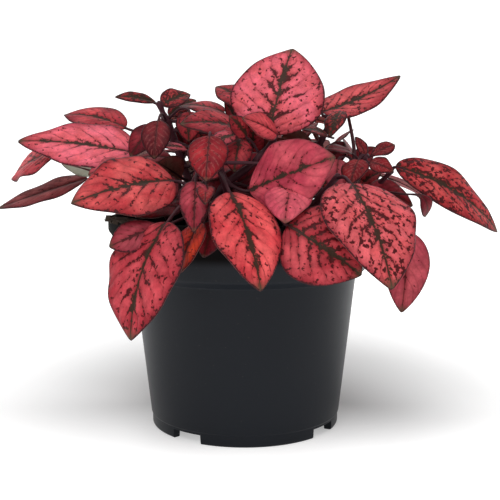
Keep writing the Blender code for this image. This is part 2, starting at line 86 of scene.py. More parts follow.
# How a leaf is coloured: its main and second tone, then how much of each marking it has
Look = namedtuple("Look", "tone second blotch specks veins pale", defaults=[0.0])
LOOKS = {
    "rose": Look((0.86, 0.158, 0.215), (0.74, 0.112, 0.136), 0.78, 0.42, 0.60),
    "splash": Look((0.88, 0.150, 0.202), (0.74, 0.110, 0.130), 0.80, 0.62, 1.00),
    "coral": Look((0.82, 0.118, 0.118), (0.60, 0.050, 0.060), 0.85, 0.55, 0.65),
    "ruby": Look((0.44, 0.036, 0.050), (0.66, 0.088, 0.104), 0.95, 0.62, 0.80),
    "garnet": Look((0.42, 0.034, 0.048), (0.56, 0.068, 0.084), 0.95, 0.62, 0.80),
    "brick": Look((0.66, 0.085, 0.096), (0.80, 0.125, 0.135), 0.85, 0.62, 0.85),
    "spotted": Look((0.88, 0.155, 0.175), (0.74, 0.108, 0.118), 1.00, 0.95, 0.90),
    "scarlet": Look((0.44, 0.034, 0.041), (0.62, 0.080, 0.079), 0.95, 1.10, 0.90),
    "magenta": Look((0.46, 0.044, 0.076), (0.68, 0.098, 0.130), 1.50, 0.12, 0.15),
    "bare": Look((0.60, 0.062, 0.078), (0.72, 0.095, 0.110), 0.10, 0.15, 0.22),
    "fold": Look((0.70, 0.085, 0.135), (0.80, 0.135, 0.175), 0.05, 0.10, 0.10),
    "crimson": Look((0.34, 0.022, 0.036), (0.62, 0.060, 0.070), 0.50, 0.50, 0.50),
    "burgundy": Look((0.17, 0.011, 0.022), (0.34, 0.026, 0.040), 0.30, 0.30, 0.40),
    "shade": Look((0.23, 0.048, 0.053), (0.36, 0.092, 0.092), 0.20, 0.20, 0.40),
    "young": Look((0.245, 0.009, 0.018), (0.48, 0.027, 0.035), 0.10, 0.10, 0.60, 0.36),
    "blush": Look((0.34, 0.036, 0.056), (0.58, 0.088, 0.116), 0.15, 0.10, 0.90, 0.10),
    "dusky": Look((0.14, 0.010, 0.018), (0.30, 0.026, 0.034), 0.05, 0.10, 0.40, 0.30),
    "plain": Look((0.43, 0.060, 0.085), (0.61, 0.105, 0.128), 0.10, 0.10, 0.20, 0.1),
    "ember": Look((0.72, 0.066, 0.026), (0.56, 0.036, 0.030), 0.30, 0.35, 0.50),
    "silver": Look((0.42, 0.45, 0.36), (0.45, 0.44, 0.36), 0.05, 0.10, 0.20),
}

Leaf = namedtuple("Leaf", "at base tip width look lean arch fold curl sweep belly")


def leaf(at, base, tip, width, look="crimson", lean=(0, 0), arch=0.07, fold=8, curl=0.14, sweep=0,
         belly=0.4):
    """One leaf: where its petiole leaves the stalk (0 foot, 1 top), its blade's ends, looks and form.

    lean tips the upper face over, per unit of height along X and Y; arch bows the midrib up, fold
    lifts both halves into a V, curl turns the margins down, sweep bends the midrib sideways and
    belly is how far along the blade is widest.
    """
    ends = np.array(base, float), np.array(tip, float)
    return Leaf(at, *ends, width, look, lean, arch, fold, curl, sweep, belly)


STALKS = {
    "stem_left": [(-28, -4, 60), (-33, -6, 90), (-42, -9, 108), (-47, -10, 118)],
    "stem_front_left": [(-17, -18, 60), (-20, -26, 88), (-21, -38, 104), (-16, -52, 115)],
    "stem_front": [(-3, -20, 60), (-4, -30, 90), (-8, -42, 108), (-13, -48, 126)],
    "stem_top": [(-8, -12, 60), (-13, -26, 92), (-10, -32, 104), (3, -35, 115), (12, -33, 124)],
    "stem_front_right": [(20, -20, 60), (22, -30, 88), (30, -38, 102), (37, -42, 111)],
    "stem_right": [(33, -4, 60), (38, -10, 90), (46, -20, 108), (49, -26, 119)],
    "stem_far_right": [(40, 8, 60), (46, 4, 88), (56, -8, 104), (62, -16, 112)],
    "stem_upper_right": [(17, 6, 60), (20, 4, 92), (30, -4, 118), (37, -10, 134)],
    "stem_upper_left": [(-14, 0, 60), (-20, 0, 92), (-30, -2, 122), (-37, -6, 141)],
}

LEAVES = {
    "stem_left": [
        leaf(0.96, (-47, -9, 119.5), (-98, -6, 124.5), 29, "rose", lean=(0, -0.85), arch=0.04, belly=0.34),
        leaf(0.80, (-81, -4, 121), (-105, 8, 108), 27, "ruby", lean=(0.2, -0.7)),
        leaf(0.70, (-69, -4, 108.5), (-110, 2, 95), 16, "shade", lean=(0, -0.6), arch=0.01),
        leaf(0.85, (-50, -18, 114), (-65, -22, 110.5), 14, "plain", lean=(0, -0.8)),
        leaf(0.80, (-64.7, -8, 111.4), (-78.5, -10, 114.8), 8, "silver", lean=(0, 2)),
    ],
    "stem_front_left": [
        leaf(0.75, (-28, -40, 108.7), (-65.3, -56, 100.4), 32, "coral", lean=(0, -1.0), belly=0.38),
        leaf(0.60, (-29, -60, 94), (-41, -74, 52), 37, "garnet", sweep=0.03, belly=0.40),
        leaf(0.96, (-18, -60, 109), (-18, -71, 91), 12, "blush", fold=24),
        leaf(0.96, (-14, -61, 107), (-14, -71, 101), 7, "young", fold=24),
        leaf(0.55, (-16, -63, 94), (-23, -68, 76), 17, "ember"),
        leaf(0.60, (-27, -36, 98), (-42, -50, 95), 14, "burgundy", lean=(0, -0.6)),
    ],
    "stem_front": [
        leaf(0.80, (-5, -61, 105), (6, -80, 71), 28.5, "coral"),
        leaf(1.0, (-13, -54, 126), (-14, -64, 109), 15, "young", lean=(0, -1)),
        leaf(0.85, (2, -47, 105), (34, -58, 118), 29, "magenta", lean=(0, -1.8), arch=0.03, belly=0.46),
        leaf(0.85, (18, -52, 108), (15, -66, 94), 18, "fold"),
    ],
    "stem_top": [
        leaf(1.0, (10, -28, 127), (20, -12, 163), 39, "splash", lean=(0, -0.6), fold=4, curl=0.06,
             belly=0.38),
        leaf(1.0, (13, -33, 127), (-1, -39, 133), 14, "bare", lean=(0, -1)),
        leaf(0.90, (18, -30, 122), (31, -37, 121), 10, "crimson", lean=(0, -0.3)),
        leaf(0.75, (-2, -34, 125), (-4, -42, 112), 12, "crimson", lean=(0, -1)),
        leaf(0.90, (-4, -38, 127), (-13, -44, 122), 8, "rose", lean=(0, -1)),
        leaf(0.97, (2, -2, 140), (-13, 10, 149), 15, "crimson", lean=(0, -0.8)),
        leaf(0.80, (1, -35, 126), (-6, -37, 134), 9, "crimson", lean=(0, -1.2)),
    ],
    "stem_front_right": [
        leaf(0.97, (41, -52, 108), (53, -76, 71), 39, "spotted", fold=6, curl=0.1, belly=0.34),
        leaf(0.70, (16, -63, 93), (43, -68, 75), 32, "ruby", lean=(0, -2.5)),
    ],
    "stem_right": [
        leaf(1.0, (46, -32, 117), (42, -40, 107), 11, "young"),
        leaf(1.0, (51, -27, 118), (61.5, -26, 122.8), 7, "young", lean=(0, -1), belly=0.62),
        leaf(1.0, (49.5, -27, 118.5), (45, -28, 126), 5, "young", lean=(0, -1)),
        leaf(0.97, (51, -29, 116), (60, -32, 112), 9, "young", lean=(0, -1)),
        leaf(0.90, (44, -22, 120), (33, -26, 121), 10, "burgundy", lean=(0, -0.4)),
        leaf(0.90, (38, -30, 117), (36, -35, 104), 11, "plain", lean=(0, -1)),
        leaf(0.60, (66, -36, 88), (62, -46, 57), 18, "plain", lean=(0, -2)),
    ],
    "stem_far_right": [
        leaf(1.0, (63, -20, 114), (111, -4, 85), 24, "scarlet", lean=(0, -1), arch=0.10),
        leaf(0.75, (67, -27, 103), (74, -29, 93.5), 8, "burgundy", lean=(0.3, -0.9), arch=0.45, belly=0.72),
        leaf(0.70, (53, -13, 105), (72, -12, 97), 15, "burgundy", lean=(0, -1)),
    ],
    "stem_upper_right": [
        leaf(1.0, (33, -8, 137), (68, 2, 153), 19, "brick", lean=(0, -0.8), arch=-0.05, belly=0.34),
        leaf(0.97, (40, -16, 137), (35, -26, 126), 9, "scarlet"),
        leaf(0.90, (34, -24, 127), (23, -28, 129), 9, "scarlet", lean=(0, -0.5)),
    ],
    "stem_upper_left": [
        leaf(1.0, (-38, -6, 141), (-55, -11, 143), 7, "scarlet", lean=(0, -1), fold=22, curl=0.3, belly=0.5),
        leaf(1.0, (-36, -4, 140), (-24, 2, 145), 12, "scarlet", lean=(0, -1), fold=16),
        leaf(0.80, (-54, 12, 131), (-84, 22, 137), 20, "crimson", lean=(0, -0.6)),
        leaf(0.90, (-36, -20, 133), (-37, -27, 117), 12, "dusky", lean=(0, -1)),
        leaf(0.85, (-38, -14, 131), (-48, -18, 118), 12, "burgundy", lean=(0, -1)),
        leaf(0.90, (-23.4, -12, 137), (-23.6, -16, 124), 11, "crimson", lean=(0, -1)),
        leaf(0.70, (-33, 3, 117.3), (-48.7, 5, 116.4), 13, "burgundy", lean=(0, -0.5)),
        leaf(0.80, (-24, -20, 121), (-35, -24, 122), 10, "rose", lean=(0, -0.4)),
        leaf(0.90, (-9, -4, 137), (-29, 4, 140), 14, "crimson", lean=(0, -0.4)),
        leaf(0.85, (-2, -22, 130), (-26, -30, 131), 18, "crimson", lean=(0, -0.8)),
    ],
}

# Tiers of a rear stem: share up the stalk, turn from its way out, distance of the blade's base from
# the middle and its height (0 is just above the top), blade's length, droop and width
REAR_TIERS = [
    (0.45, -8, 64, 97, 38, 70, 26),
    (0.55, 8, 66, 102, 38, 60, 25),
    (0.75, 0, 52, 111, 34, 24, 26),
    (0.95, 14, 39, 0, 32, 10, 20),
]
RIGHT_TIERS = [
    (0.45, -10, 64, 99, 30, 66, 22),
    (0.75, 0, 56, 111, 32, 24, 23),
    (0.95, 15, 39, 0, 27, 10, 19),
]
LEFT_TIERS = [(0.80, 0, 54, 111, 32, 18, 23)]
MIDDLE_TIERS = [
    (0.93, -62, 22, 0, 27, 8, 21),
    (0.96, 0, 24, 0, 27, 4, 21),
    (0.90, 58, 22, 0, 27, 10, 21),
]
# Leafy stems of the back: way out from the middle, foot and top distance from it, height, tiers
REAR_STEMS = {
    "stem_rear_1": (14, 30, 38, 119, RIGHT_TIERS),
    "stem_rear_2": (42, 24, 33, 123, REAR_TIERS),
    "stem_rear_3": (70, 31, 35, 118, REAR_TIERS),
    "stem_rear_4": (99, 24, 32, 123, REAR_TIERS),
    "stem_rear_5": (127, 30, 36, 118, REAR_TIERS),
    "stem_rear_6": (160, 26, 34, 112, LEFT_TIERS),
    "stem_middle": (90, 11, 14, 134, MIDDLE_TIERS),
}
YOUNG_PAIR = [(0, 14, 40, 8), (180, 12, 55, 7)]
YOUNG_LIFT = 2.0
SEED = 7
TURN_SPREAD = 2.0
DROOP_SPREAD = 4.0
LENGTH_SPREAD = 0.06

# Small leaves among the stalks, tried at seeded places and kept where they are clear of the others
FILL_COUNT = 36
FILL_TRIES = 3000
FILL_SHARE = (0.42, 0.92)
FILL_PETIOLE = (5, 11)
FILL_LENGTH = (19, 29)
FILL_SLIM = 0.7
FILL_CLIMB = (-35, 45)
FILL_RADIUS = 52.0
FILL_FRONT = -36.0
FILL_HEIGHTS = (94.0, 134.0)
FILL_LEAN = 1.3
FILL_SPARE = 0.7

# Small leaves that close gaps between the stems, all one fine piece, and a petiole from one stem's
# stalk up behind another's leaf
INNER_LEAVES = [
    ("stem_middle", leaf(0.86, (3, 8, 120), (5, 3, 133), 12, "crimson", lean=(0, -0.8))),
    ("stem_middle", leaf(0.95, (-4, 6, 133), (-9, 2, 142), 9, "crimson", lean=(0, -0.8))),
    ("stem_upper_left", leaf(0.90, (-34, 6, 136), (-22, 9, 143), 11, "scarlet", lean=(0, -0.8))),
    ("stem_upper_left", leaf(0.72, (-27, 8, 120), (-31, 6, 131), 11, "burgundy", lean=(0, -0.8))),
    ("stem_upper_left", leaf(0.60, (-18, 6, 121), (-21, 4, 131), 10, "crimson", lean=(0, -0.8))),
    ("stem_upper_right", leaf(0.70, (36, 0, 115), (45, -2, 124), 13, "burgundy", lean=(0, -0.8))),
    ("stem_right", leaf(0.85, (46, -8, 113), (56, -9, 122), 11, "burgundy", lean=(0, -0.8))),
    ("stem_far_right", leaf(0.90, (51, 0, 106), (60, -2, 111), 10, "crimson", lean=(0, -0.8))),
    ("stem_front_left", leaf(0.58, (-31, -55, 92), (-50.5, -60, 84.5), 12.5, "blush", lean=(0, -2),
                             belly=0.55)),
    ("stem_front_left", leaf(0.56, (-11, -60, 94), (-15, -64, 81), 11, "burgundy", lean=(0, -0.8))),
    ("stem_top", leaf(0.60, (-5, -30, 105.5), (8, -30, 99.5), 10, "burgundy", lean=(0, -0.8))),
]
INNER_PETIOLE = [(46, -20, 108), (46.5, -12, 121), (44.5, -2, 138)]

# Looks of the rear and small leaves, drawn by a seeded rule of their own
REAR_LOOKS = ("coral", "rose", "spotted", "ruby", "scarlet", "coral")
FILL_LOOKS = ("burgundy", "crimson", "burgundy", "young", "scarlet")


def unit(vector):
    """The same direction with length one."""
    return vector / np.linalg.norm(vector, axis=-1, keepdims=True)


def reach_along(points):
    """How far along a path each of its points lies."""
    return np.concatenate([[0.0], np.cumsum(np.linalg.norm(np.diff(points, axis=0), axis=1))])


def path_point(points, share):
    """The point at a share of a path's length, on straight runs between its points."""
    points = np.array(points, float)
    reach = reach_along(points)
    return np.array([np.interp(share, reach / reach[-1], column) for column in points.T])


def outline(along, belly):
    """Half-width of an ovate blade: powers of the ways to its base and to its tip, multiplied."""
    base_power = OUTLINE_TIP * belly / (1 - belly)
    shape = along ** base_power * (1 - along) ** OUTLINE_TIP
    return shape / (belly ** base_power * (1 - belly) ** OUTLINE_TIP)


def blade_grid(spec, along, across, relief=None):
    """Points of a blade: a bowed midrib, both halves lifted by the fold and turned down by the curl."""
    span = spec.tip - spec.base
    length = np.linalg.norm(span)
    forward = span / length
    upward = np.array([*spec.lean, 1.0])
    face = unit(upward - forward * (upward @ forward))
    side = np.cross(forward, face)
    u = along[:, None, None]
    v = across[None, :, None]
    bow = 4 * u * (1 - u) * length
    half = outline(u, spec.belly) * spec.width / 2 + END_HALF_WIDTH
    fold = math.radians(spec.fold)
    lift = half * (abs(v) * math.sin(fold) - spec.curl * v * v)
    if relief is not None:
        lift = lift + relief(u, v, half)
    return (
        spec.base
        + span * u
        + face * (bow * spec.arch + lift)
        + side * (bow * spec.sweep + half * v * math.cos(fold))
    )


def halves(quads):
    """Two triangles for each four-sided face."""
    return np.concatenate([quads[:, :3], quads[:, [0, 2, 3]]])


def edge_ring(index):
    """The outer ring of a grid of point numbers, and the number that follows each."""
    ring = np.concatenate([index[0, :-1], index[:-1, -1], index[-1, :0:-1], index[:0:-1, 0]])
    return ring, np.roll(ring, -1)


def blade_tree(grid, thickness):
    """A tree that finds what a solid blade meets: both its faces and the band round its edge."""
    rows, columns = grid.shape[:2]
    normal = unit(np.cross(np.gradient(grid, axis=0), np.gradient(grid, axis=1)))
    shift = normal * thickness / 2
    points = np.concatenate([(grid + shift).reshape(-1, 3), (grid - shift).reshape(-1, 3)])
    upper = halves(grid_quads(rows, columns))
    under = rows * columns
    ring, after = edge_ring(np.arange(under).reshape(rows, columns))
    band = halves(np.stack([ring, after, after + under, ring + under], 1))
    faces = np.concatenate([upper, upper[:, ::-1] + under, band])
    return BVHTree.FromPolygons(points.tolist(), faces.tolist())


def tube_rings(path, radii, sides):
    """Rings of a tube: a circle about each point of the path, square to it."""
    path = np.array(path, float)
    heading = unit(np.gradient(path, axis=0))
    helper = np.eye(3)[np.argmin(abs(path[-1] - path[0]))]
    first = unit(np.cross(heading, helper))
    second = np.cross(heading, first)
    turn = np.linspace(0, 2 * math.pi, sides, endpoint=False)[None, :, None]
    radii = np.array(radii, float)[:, None, None]
    return path[:, None] + radii * (first[:, None] * np.cos(turn) + second[:, None] * np.sin(turn))


def tube_tree(path, radii, sides):
    """A tree that finds what a solid tube with flat ends meets."""
    rings = tube_rings(path, radii, sides)
    count = len(rings)
    points = np.concatenate([rings.reshape(-1, 3), np.array(path, float)[[0, -1]]])
    first, last = np.arange(sides), np.arange(sides) + (count - 1) * sides
    start = np.full(sides, count * sides)
    faces = np.concatenate([
        halves(grid_quads(count, sides, closed=True)[:, [0, 3, 2, 1]]),
        np.stack([np.roll(first, -1), first, start], 1),
        np.stack([last, np.roll(last, -1), start + 1], 1),
    ])
    return BVHTree.FromPolygons(points.tolist(), faces.tolist())


def blade_steps(spec):
    """Places of the solid blade's rows and columns: closer rows at the ends, fewer on a young leaf."""
    young = np.linalg.norm(spec.tip - spec.base) < YOUNG_LENGTH
    rows, columns = YOUNG_STEPS if young else BLADE_STEPS
    along = 0.5 - 0.5 * np.cos(np.linspace(0, math.pi, rows + 1))
    return along, np.linspace(-1, 1, columns + 1)


def petiole_path(spec, stalk, grid):
    """From the stalk's middle into the blade, arriving along its midrib."""
    start = path_point(stalk, spec.at)
    base, end = grid[:2, grid.shape[1] // 2]
    reach = np.linalg.norm(base - start)
    end = base + (end - base) * PETIOLE_SUNK
    if reach < SHORT_PETIOLE:
        return np.array([start, end])
    bend = base - unit(end - base) * reach * 0.45
    return np.array([start, 0.3 * start + 0.5 * bend + 0.2 * base, end])


def around(angle, radius, height):
    """A point at an angle about the pot's axis, in degrees from +X."""
    turn = math.radians(angle)
    return np.array([radius * math.cos(turn), radius * math.sin(turn), height])


def rear_stem(way_out, foot, top, height, tiers, random, looks):
    """A rear stem's stalk, upright and then leaning out, and its leaves in tiers, a little varied."""
    levels = np.array([60.0, 90.0, (90 + height) / 2, height])
    spread = foot + (top - foot) * np.array([0.0, 0.2, 0.6, 1.0])
    stalk = [around(way_out, radius, level) for radius, level in zip(spread, levels)]
    leaves = []
    for at, turn, radius, level, length, droop, width in tiers:
        heading = way_out + turn + random.uniform(-TURN_SPREAD, TURN_SPREAD)
        fall = math.radians(droop + random.uniform(-DROOP_SPREAD, DROOP_SPREAD))
        size = 1 + random.uniform(-LENGTH_SPREAD, LENGTH_SPREAD)
        base = around(heading, radius, level or height + YOUNG_LIFT)
        tip = base + size * around(heading, length * math.cos(fall), -length * math.sin(fall))
        leaves.append(leaf(at, base, tip, width * size, looks.choice(REAR_LOOKS)))
    for turn, length, climb, width in YOUNG_PAIR:
        heading = way_out + turn + random.uniform(-TURN_SPREAD, TURN_SPREAD)
        rise = math.radians(climb)
        base = stalk[-1] + around(heading, YOUNG_LIFT, YOUNG_LIFT)
        tip = base + around(heading, length * math.cos(rise), length * math.sin(rise))
        leaves.append(leaf(1.0, base, tip, width, "young"))
    return stalk, leaves


def leaf_trees(spec, stalk, spare=0.0):
    """Trees of one leaf's solid blade and petiole, grown on every side by the spare."""
    grown = spec._replace(width=spec.width + 2 * spare)
    grid = blade_grid(grown, *blade_steps(spec))
    way = petiole_path(spec, stalk, grid)
    radii = np.linspace(*PETIOLE_RADII, len(way)) + spare
    return [blade_tree(grid, BLADE_THICKNESS + 2 * spare), tube_tree(way, radii, PETIOLE_SIDES)]


def small_leaf(stalk, random):
    """One seeded try of a small leaf on a stalk, with its upper face turned outward."""
    at = random.uniform(*FILL_SHARE)
    heading, climb = random.uniform(0, 360), math.radians(random.uniform(*FILL_CLIMB))
    length = random.uniform(*FILL_LENGTH)
    base = path_point(stalk, at) + around(heading, random.uniform(*FILL_PETIOLE), 4 * math.sin(climb))
    tip = base + around(heading, length * math.cos(climb), length * math.sin(climb))
    lean = FILL_LEAN * unit((base + tip)[:2])
    return leaf(at, base, tip, FILL_SLIM * length, lean=lean)


def fill_stems(stems, looks):
    """Adds the small leaves in turn, stem by stem, where the place is inside the plant and free."""
    random = np.random.default_rng(SEED)
    stalks = [tube_tree(stalk, np.linspace(*STALK_RADII, len(stalk)), STALK_SIDES)
              for _, stalk, _ in stems]
    grown = [[tree for spec in leaves for tree in leaf_trees(spec, stalk)] for _, stalk, leaves in stems]
    kept = 0
    for count in range(FILL_TRIES):
        number = count % len(stems)
        _, stalk, leaves = stems[number]
        spec = small_leaf(stalk, random)
        ends = np.array([spec.base, spec.tip])
        if (ends[:, 2].min() < FILL_HEIGHTS[0] or ends[:, 2].max() > FILL_HEIGHTS[1]
                or ends[:, 1].min() < FILL_FRONT or np.hypot(ends[:, 0], ends[:, 1]).max() > FILL_RADIUS):
            continue
        tried = leaf_trees(spec, stalk, FILL_SPARE)
        others = sum(grown, []) + stalks[:number] + stalks[number + 1:]
        if any(tree.overlap(other) for tree in tried for other in others):
            continue
        leaves.append(spec._replace(look=looks.choice(FILL_LOOKS)))
        grown[number] += leaf_trees(spec, stalk)
        kept += 1
        if kept == FILL_COUNT:
            break


def all_stems():
    """Every leafy stem's name, stalk and leaves."""
    stems = [(name, STALKS[name], list(LEAVES[name])) for name in STALKS]
    random = np.random.default_rng(SEED)
    looks = np.random.default_rng(SEED + 1)
    for name, form in REAR_STEMS.items():
        stems.append((name, *rear_stem(*form, random, looks)))
    fill_stems(stems, looks)
    return stems


def new_object(name, data):
    """A new object in the scene."""
    item = bpy.data.objects.new(name, data)
    bpy.context.scene.collection.objects.link(item)
    return item


class Surface:
    """Gathers points, faces, their material numbers and the points' attributes into one mesh."""

    def __init__(self):
        self.points, self.faces, self.skins, self.values, self.count = [], [], [], {}, 0

    def add(self, points, quads, skin, **values):
        """Adds an array of points and four-sided faces that share a skin."""
        points = points.reshape(-1, 3)
        self.points.append(points)
        self.faces.append(quads + self.count)
        self.skins.append(np.full(len(quads), skin))
        for name, value in values.items():
            value = np.broadcast_to(np.reshape(value, (-1, 3)), points.shape)
            self.values.setdefault(name, []).append(value)
        self.count += len(points)

    def add_grid(self, grid, skin, closed=False, flip=False, **values):
        """Adds a grid of points and its faces, turned over where flip says so."""
        quads = grid_quads(*grid.shape[:2], closed)
        self.add(grid, quads[:, ::-1] if flip else quads, skin, **values)

    def make(self, name, materials):
        """The finished object, smooth, with its place in its mesh."""
        points = np.concatenate(self.points) * MM
        quads = np.concatenate(self.faces)
        mesh = bpy.data.meshes.new(name)
        mesh.vertices.add(len(points))
        mesh.vertices.foreach_set("co", points.ravel())
        mesh.loops.add(quads.size)
        mesh.loops.foreach_set("vertex_index", quads.ravel().astype(np.int32))
        mesh.polygons.add(len(quads))
        mesh.polygons.foreach_set("loop_start", np.arange(0, quads.size, 4, dtype=np.int32))
        mesh.polygons.foreach_set("material_index", np.concatenate(self.skins).astype(np.int32))
        for key, parts in self.values.items():
            layer = mesh.attributes.new(key, "FLOAT_VECTOR", "POINT")
            layer.data.foreach_set("vector", np.concatenate(parts).ravel().astype(np.float32))
        for material in materials:
            mesh.materials.append(material)
        mesh.update(calc_edges=True)
        mesh.validate()
        mesh.shade_smooth()
        return new_object(name, mesh)


def grid_quads(rows, columns, closed=False):
    """Faces of a grid, turned so that rows then columns face out; closed joins the last column on."""
    index = np.arange(rows * columns).reshape(rows, columns)
    after = np.roll(index, -1, axis=1) if closed else index[:, 1:]
    before = index if closed else index[:, :-1]
    return np.stack([before[:-1], before[1:], after[1:], after[:-1]], -1).reshape(-1, 4)


def smooth_path(points, count):
    """A smooth curve through points: cubic pieces whose slopes follow the neighbouring points."""
    points = np.array(points, float)
    reach = reach_along(points)
    slope = np.gradient(points, reach, axis=0)
    where = np.linspace(0, reach[-1], count)
    piece = np.clip(np.searchsorted(reach, where, side="right") - 1, 0, len(points) - 2)
    step = (reach[piece + 1] - reach[piece])[:, None]
    t = ((where - reach[piece])[:, None]) / step
    return (
        points[piece] * (2 * t ** 3 - 3 * t ** 2 + 1)
        + slope[piece] * step * (t ** 3 - 2 * t ** 2 + t)
        + points[piece + 1] * (3 * t ** 2 - 2 * t ** 3)
        + slope[piece + 1] * step * (t ** 3 - t ** 2)
    )


def add_tube(surface, path, radii, tones, seed):
    """A fine stalk or petiole: rings along a path that shrink to a point at both ends."""
    path = np.array(path, float)
    radii = np.array(radii, float)
    start, end = unit(path[0] - path[1]), unit(path[-1] - path[-2])
    path = np.concatenate([[path[0] + start * 0.02], path, [path[-1] + end * radii[-1] * 0.6]])
    radii = np.concatenate([[POINT_RADIUS], radii, [POINT_RADIUS]])
    rings = tube_rings(path, radii, TUBE_SIDES)
    flat = np.stack(np.broadcast_arrays(
        reach_along(path)[:, None], np.arange(TUBE_SIDES)[None, :] * 0.5, np.array(float(seed))), -1)
    share = np.linspace(0, 1, len(path))[:, None, None]
    colour = np.broadcast_to(tones[0] * (1 - share) + tones[1] * share, rings.shape)
    surface.add_grid(
        rings, 2, closed=True, flat=flat, place=(0.5, 0.5, 5.0), marks=(0.0, 0.0, 0.0), tone=colour,
        second=colour, build=(0.0, 40.0, 0.0))


def leaf_relief(spec, random):
    """A blade's fine relief, as a function of its place: raised cells between sunk side veins, a
    groove along the midrib, soft crossed folds, and a margin that waves more toward the edge."""
    phase, turns = random.uniform(0, FULL_TURN), random.uniform(1.6, 2.6)
    other, skew = random.uniform(0, FULL_TURN), random.uniform(-0.3, 0.3)
    tall = QUILT_RISE * spec.width * (0.35 + LOOKS[spec.look].veins)
    sag = random.uniform(0.5, 1.0) * SOFT_FOLD * spec.width

    def relief(u, v, half):
        a = abs(v)
        vein = (u - VEIN_LEAN * a - VEIN_BEND * a * a) * SIDE_VEINS
        cell = np.sin(math.pi * vein) ** 2
        quilt = tall * cell * a ** 0.5 * (1 - a ** 4) * np.clip(u * 8, 0, 1) * np.clip((1 - u) * 6, 0, 1)
        groove = -MIDRIB_GROOVE * np.exp(-(v * half / 0.9) ** 2) * (1 - u)
        wave = np.sin(FULL_TURN * turns * u + phase + 1.5 * np.sign(v)) + 0.5 * np.sin(15 * u + other)
        margin = MARGIN_WAVE * spec.width * wave * a ** 3 * np.sin(math.pi * u)
        twist = skew * spec.width * 0.05 * v * (2 * u - 1)
        fold = sag * np.sin(4.2 * u + 2.2 * v + phase) * np.sin(3.1 * v - 2.0 * u + other) * a ** 0.7
        return quilt + groove + margin + twist + fold * np.sin(math.pi * u)

    return relief


def add_blade(surface, spec, random, seed):
    """A fine blade: the leaf formula with relief, closed into a thin sheet. Returns its midrib."""
    length = np.linalg.norm(spec.tip - spec.base)
    rows = int(np.clip(round(length * ROWS_PER_MM), 16, MOST_ROWS))
    columns = 2 * int(np.clip(round(spec.width * COLUMNS_PER_MM), 8, MOST_COLUMNS) / 2)
    along = 0.5 - 0.5 * np.cos(np.linspace(0, math.pi, rows + 1))
    along = 0.5 * along + 0.5 * np.linspace(0, 1, rows + 1)
    across = np.sin(np.linspace(-math.pi / 2, math.pi / 2, columns + 1))
    across = 0.45 * across + 0.55 * np.linspace(-1, 1, columns + 1)
    grid = blade_grid(spec, along, across, leaf_relief(spec, random))
    normal = unit(np.cross(np.gradient(grid, axis=1), np.gradient(grid, axis=0)))
    half = outline(along, spec.belly) * spec.width / 2 + END_HALF_WIDTH
    reach, v = np.meshgrid(along, across, indexing="ij")
    flat = np.stack([reach * length, v * half[:, None], np.full_like(v, seed)], -1)
    edge = (1 - abs(v)) * half[:, None]
    place = np.stack([reach, abs(v), edge], -1)
    look = LOOKS[spec.look]
    shade = random.uniform(0.88, 1.1)
    values = {
        "flat": flat, "place": place,
        "marks": (look.blotch, look.specks, look.veins),
        "tone": np.array(look.tone) * shade, "second": np.array(look.second) * shade,
        "build": (look.pale, length, spec.width)}
    thick = FINE_THICKNESS / 2 * np.clip(THIN_EDGE + edge / 0.8, THIN_EDGE, 1)[..., None]
    upper, lower = grid + normal * thick, grid - normal * thick
    start = surface.count
    surface.add_grid(upper, 0, flip=True, **values)
    surface.add_grid(lower, 1, **values)
    under = (rows + 1) * (columns + 1)
    ring, after = edge_ring(np.arange(under).reshape(rows + 1, columns + 1))
    surface.faces.append(np.stack([ring, ring + under, after + under, after], 1) + start)
    surface.skins.append(np.full(len(ring), 1))
    return grid[:, columns // 2] - normal[:, columns // 2] * FINE_THICKNESS / 2


def add_leaf(surface, spec, stalk, number, random):
    """Adds a blade and its petiole, which runs on under the blade as the midrib."""
    midrib = add_blade(surface, spec, random, random.uniform(0, 900))
    way = petiole_path(spec, stalk, blade_grid(spec, *blade_steps(spec)))
    last = int(len(midrib) * MIDRIB_SHARE)
    picks = [midrib[row] for row in np.linspace(0, last, MIDRIB_PICKS).astype(int)]
    knots = [path_point(stalk, spec.at)] + ([way[1]] if len(way) == 3 else []) + picks
    span = np.linalg.norm(np.diff(np.array(knots), axis=0), axis=1)
    neck = span[:len(knots) - MIDRIB_PICKS].sum() / span.sum()
    slim = 0.85 * min(1.0, 0.45 + np.linalg.norm(spec.tip - spec.base) / 45)
    share = np.linspace(0, 1, PETIOLE_POINTS)
    radius = np.interp(share, [0, neck, neck + 0.15, 1], [0.95, 0.72, 0.5, 0.14]) * slim
    add_tube(surface, smooth_path(knots, PETIOLE_POINTS), radius, PETIOLE_TONES, number)


def inner_piece(stalks, materials, random):
    """The small leaves that close gaps, each on its own stem's stalk, and a petiole."""
    surface = Surface()
    for number, (name, spec) in enumerate(INNER_LEAVES):
        add_leaf(surface, spec, stalks[name], number, random)
    add_tube(surface, smooth_path(INNER_PETIOLE, 24), np.linspace(0.9, 0.7, 24), PETIOLE_TONES, 0)
    piece = surface.make("foliage_inner", materials)
    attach(piece, "root")


def stem_piece(name, stalk, leaves, materials, random):
    """One fine leafy stem, which stands for the solid one of its node."""
    surface = Surface()
    share = np.linspace(0, 1, STALK_POINTS)
    radii = np.linspace(*STALK_RADII, STALK_POINTS)
    for spec in leaves:
        radii = radii * (1 + NODE_SWELL * np.exp(-((share - spec.at) / 0.03) ** 2))
    radii = np.minimum(radii, STALK_RADII[0] * 1.3)
    add_tube(surface, smooth_path(stalk, STALK_POINTS), radii, STALK_TONES, random.uniform(0, 90))
    for number, spec in enumerate(leaves):
        add_leaf(surface, spec, stalk, number, random)
    piece = surface.make(name.replace("stem", "foliage"), materials)
    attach(piece, "root")
    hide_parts(name)


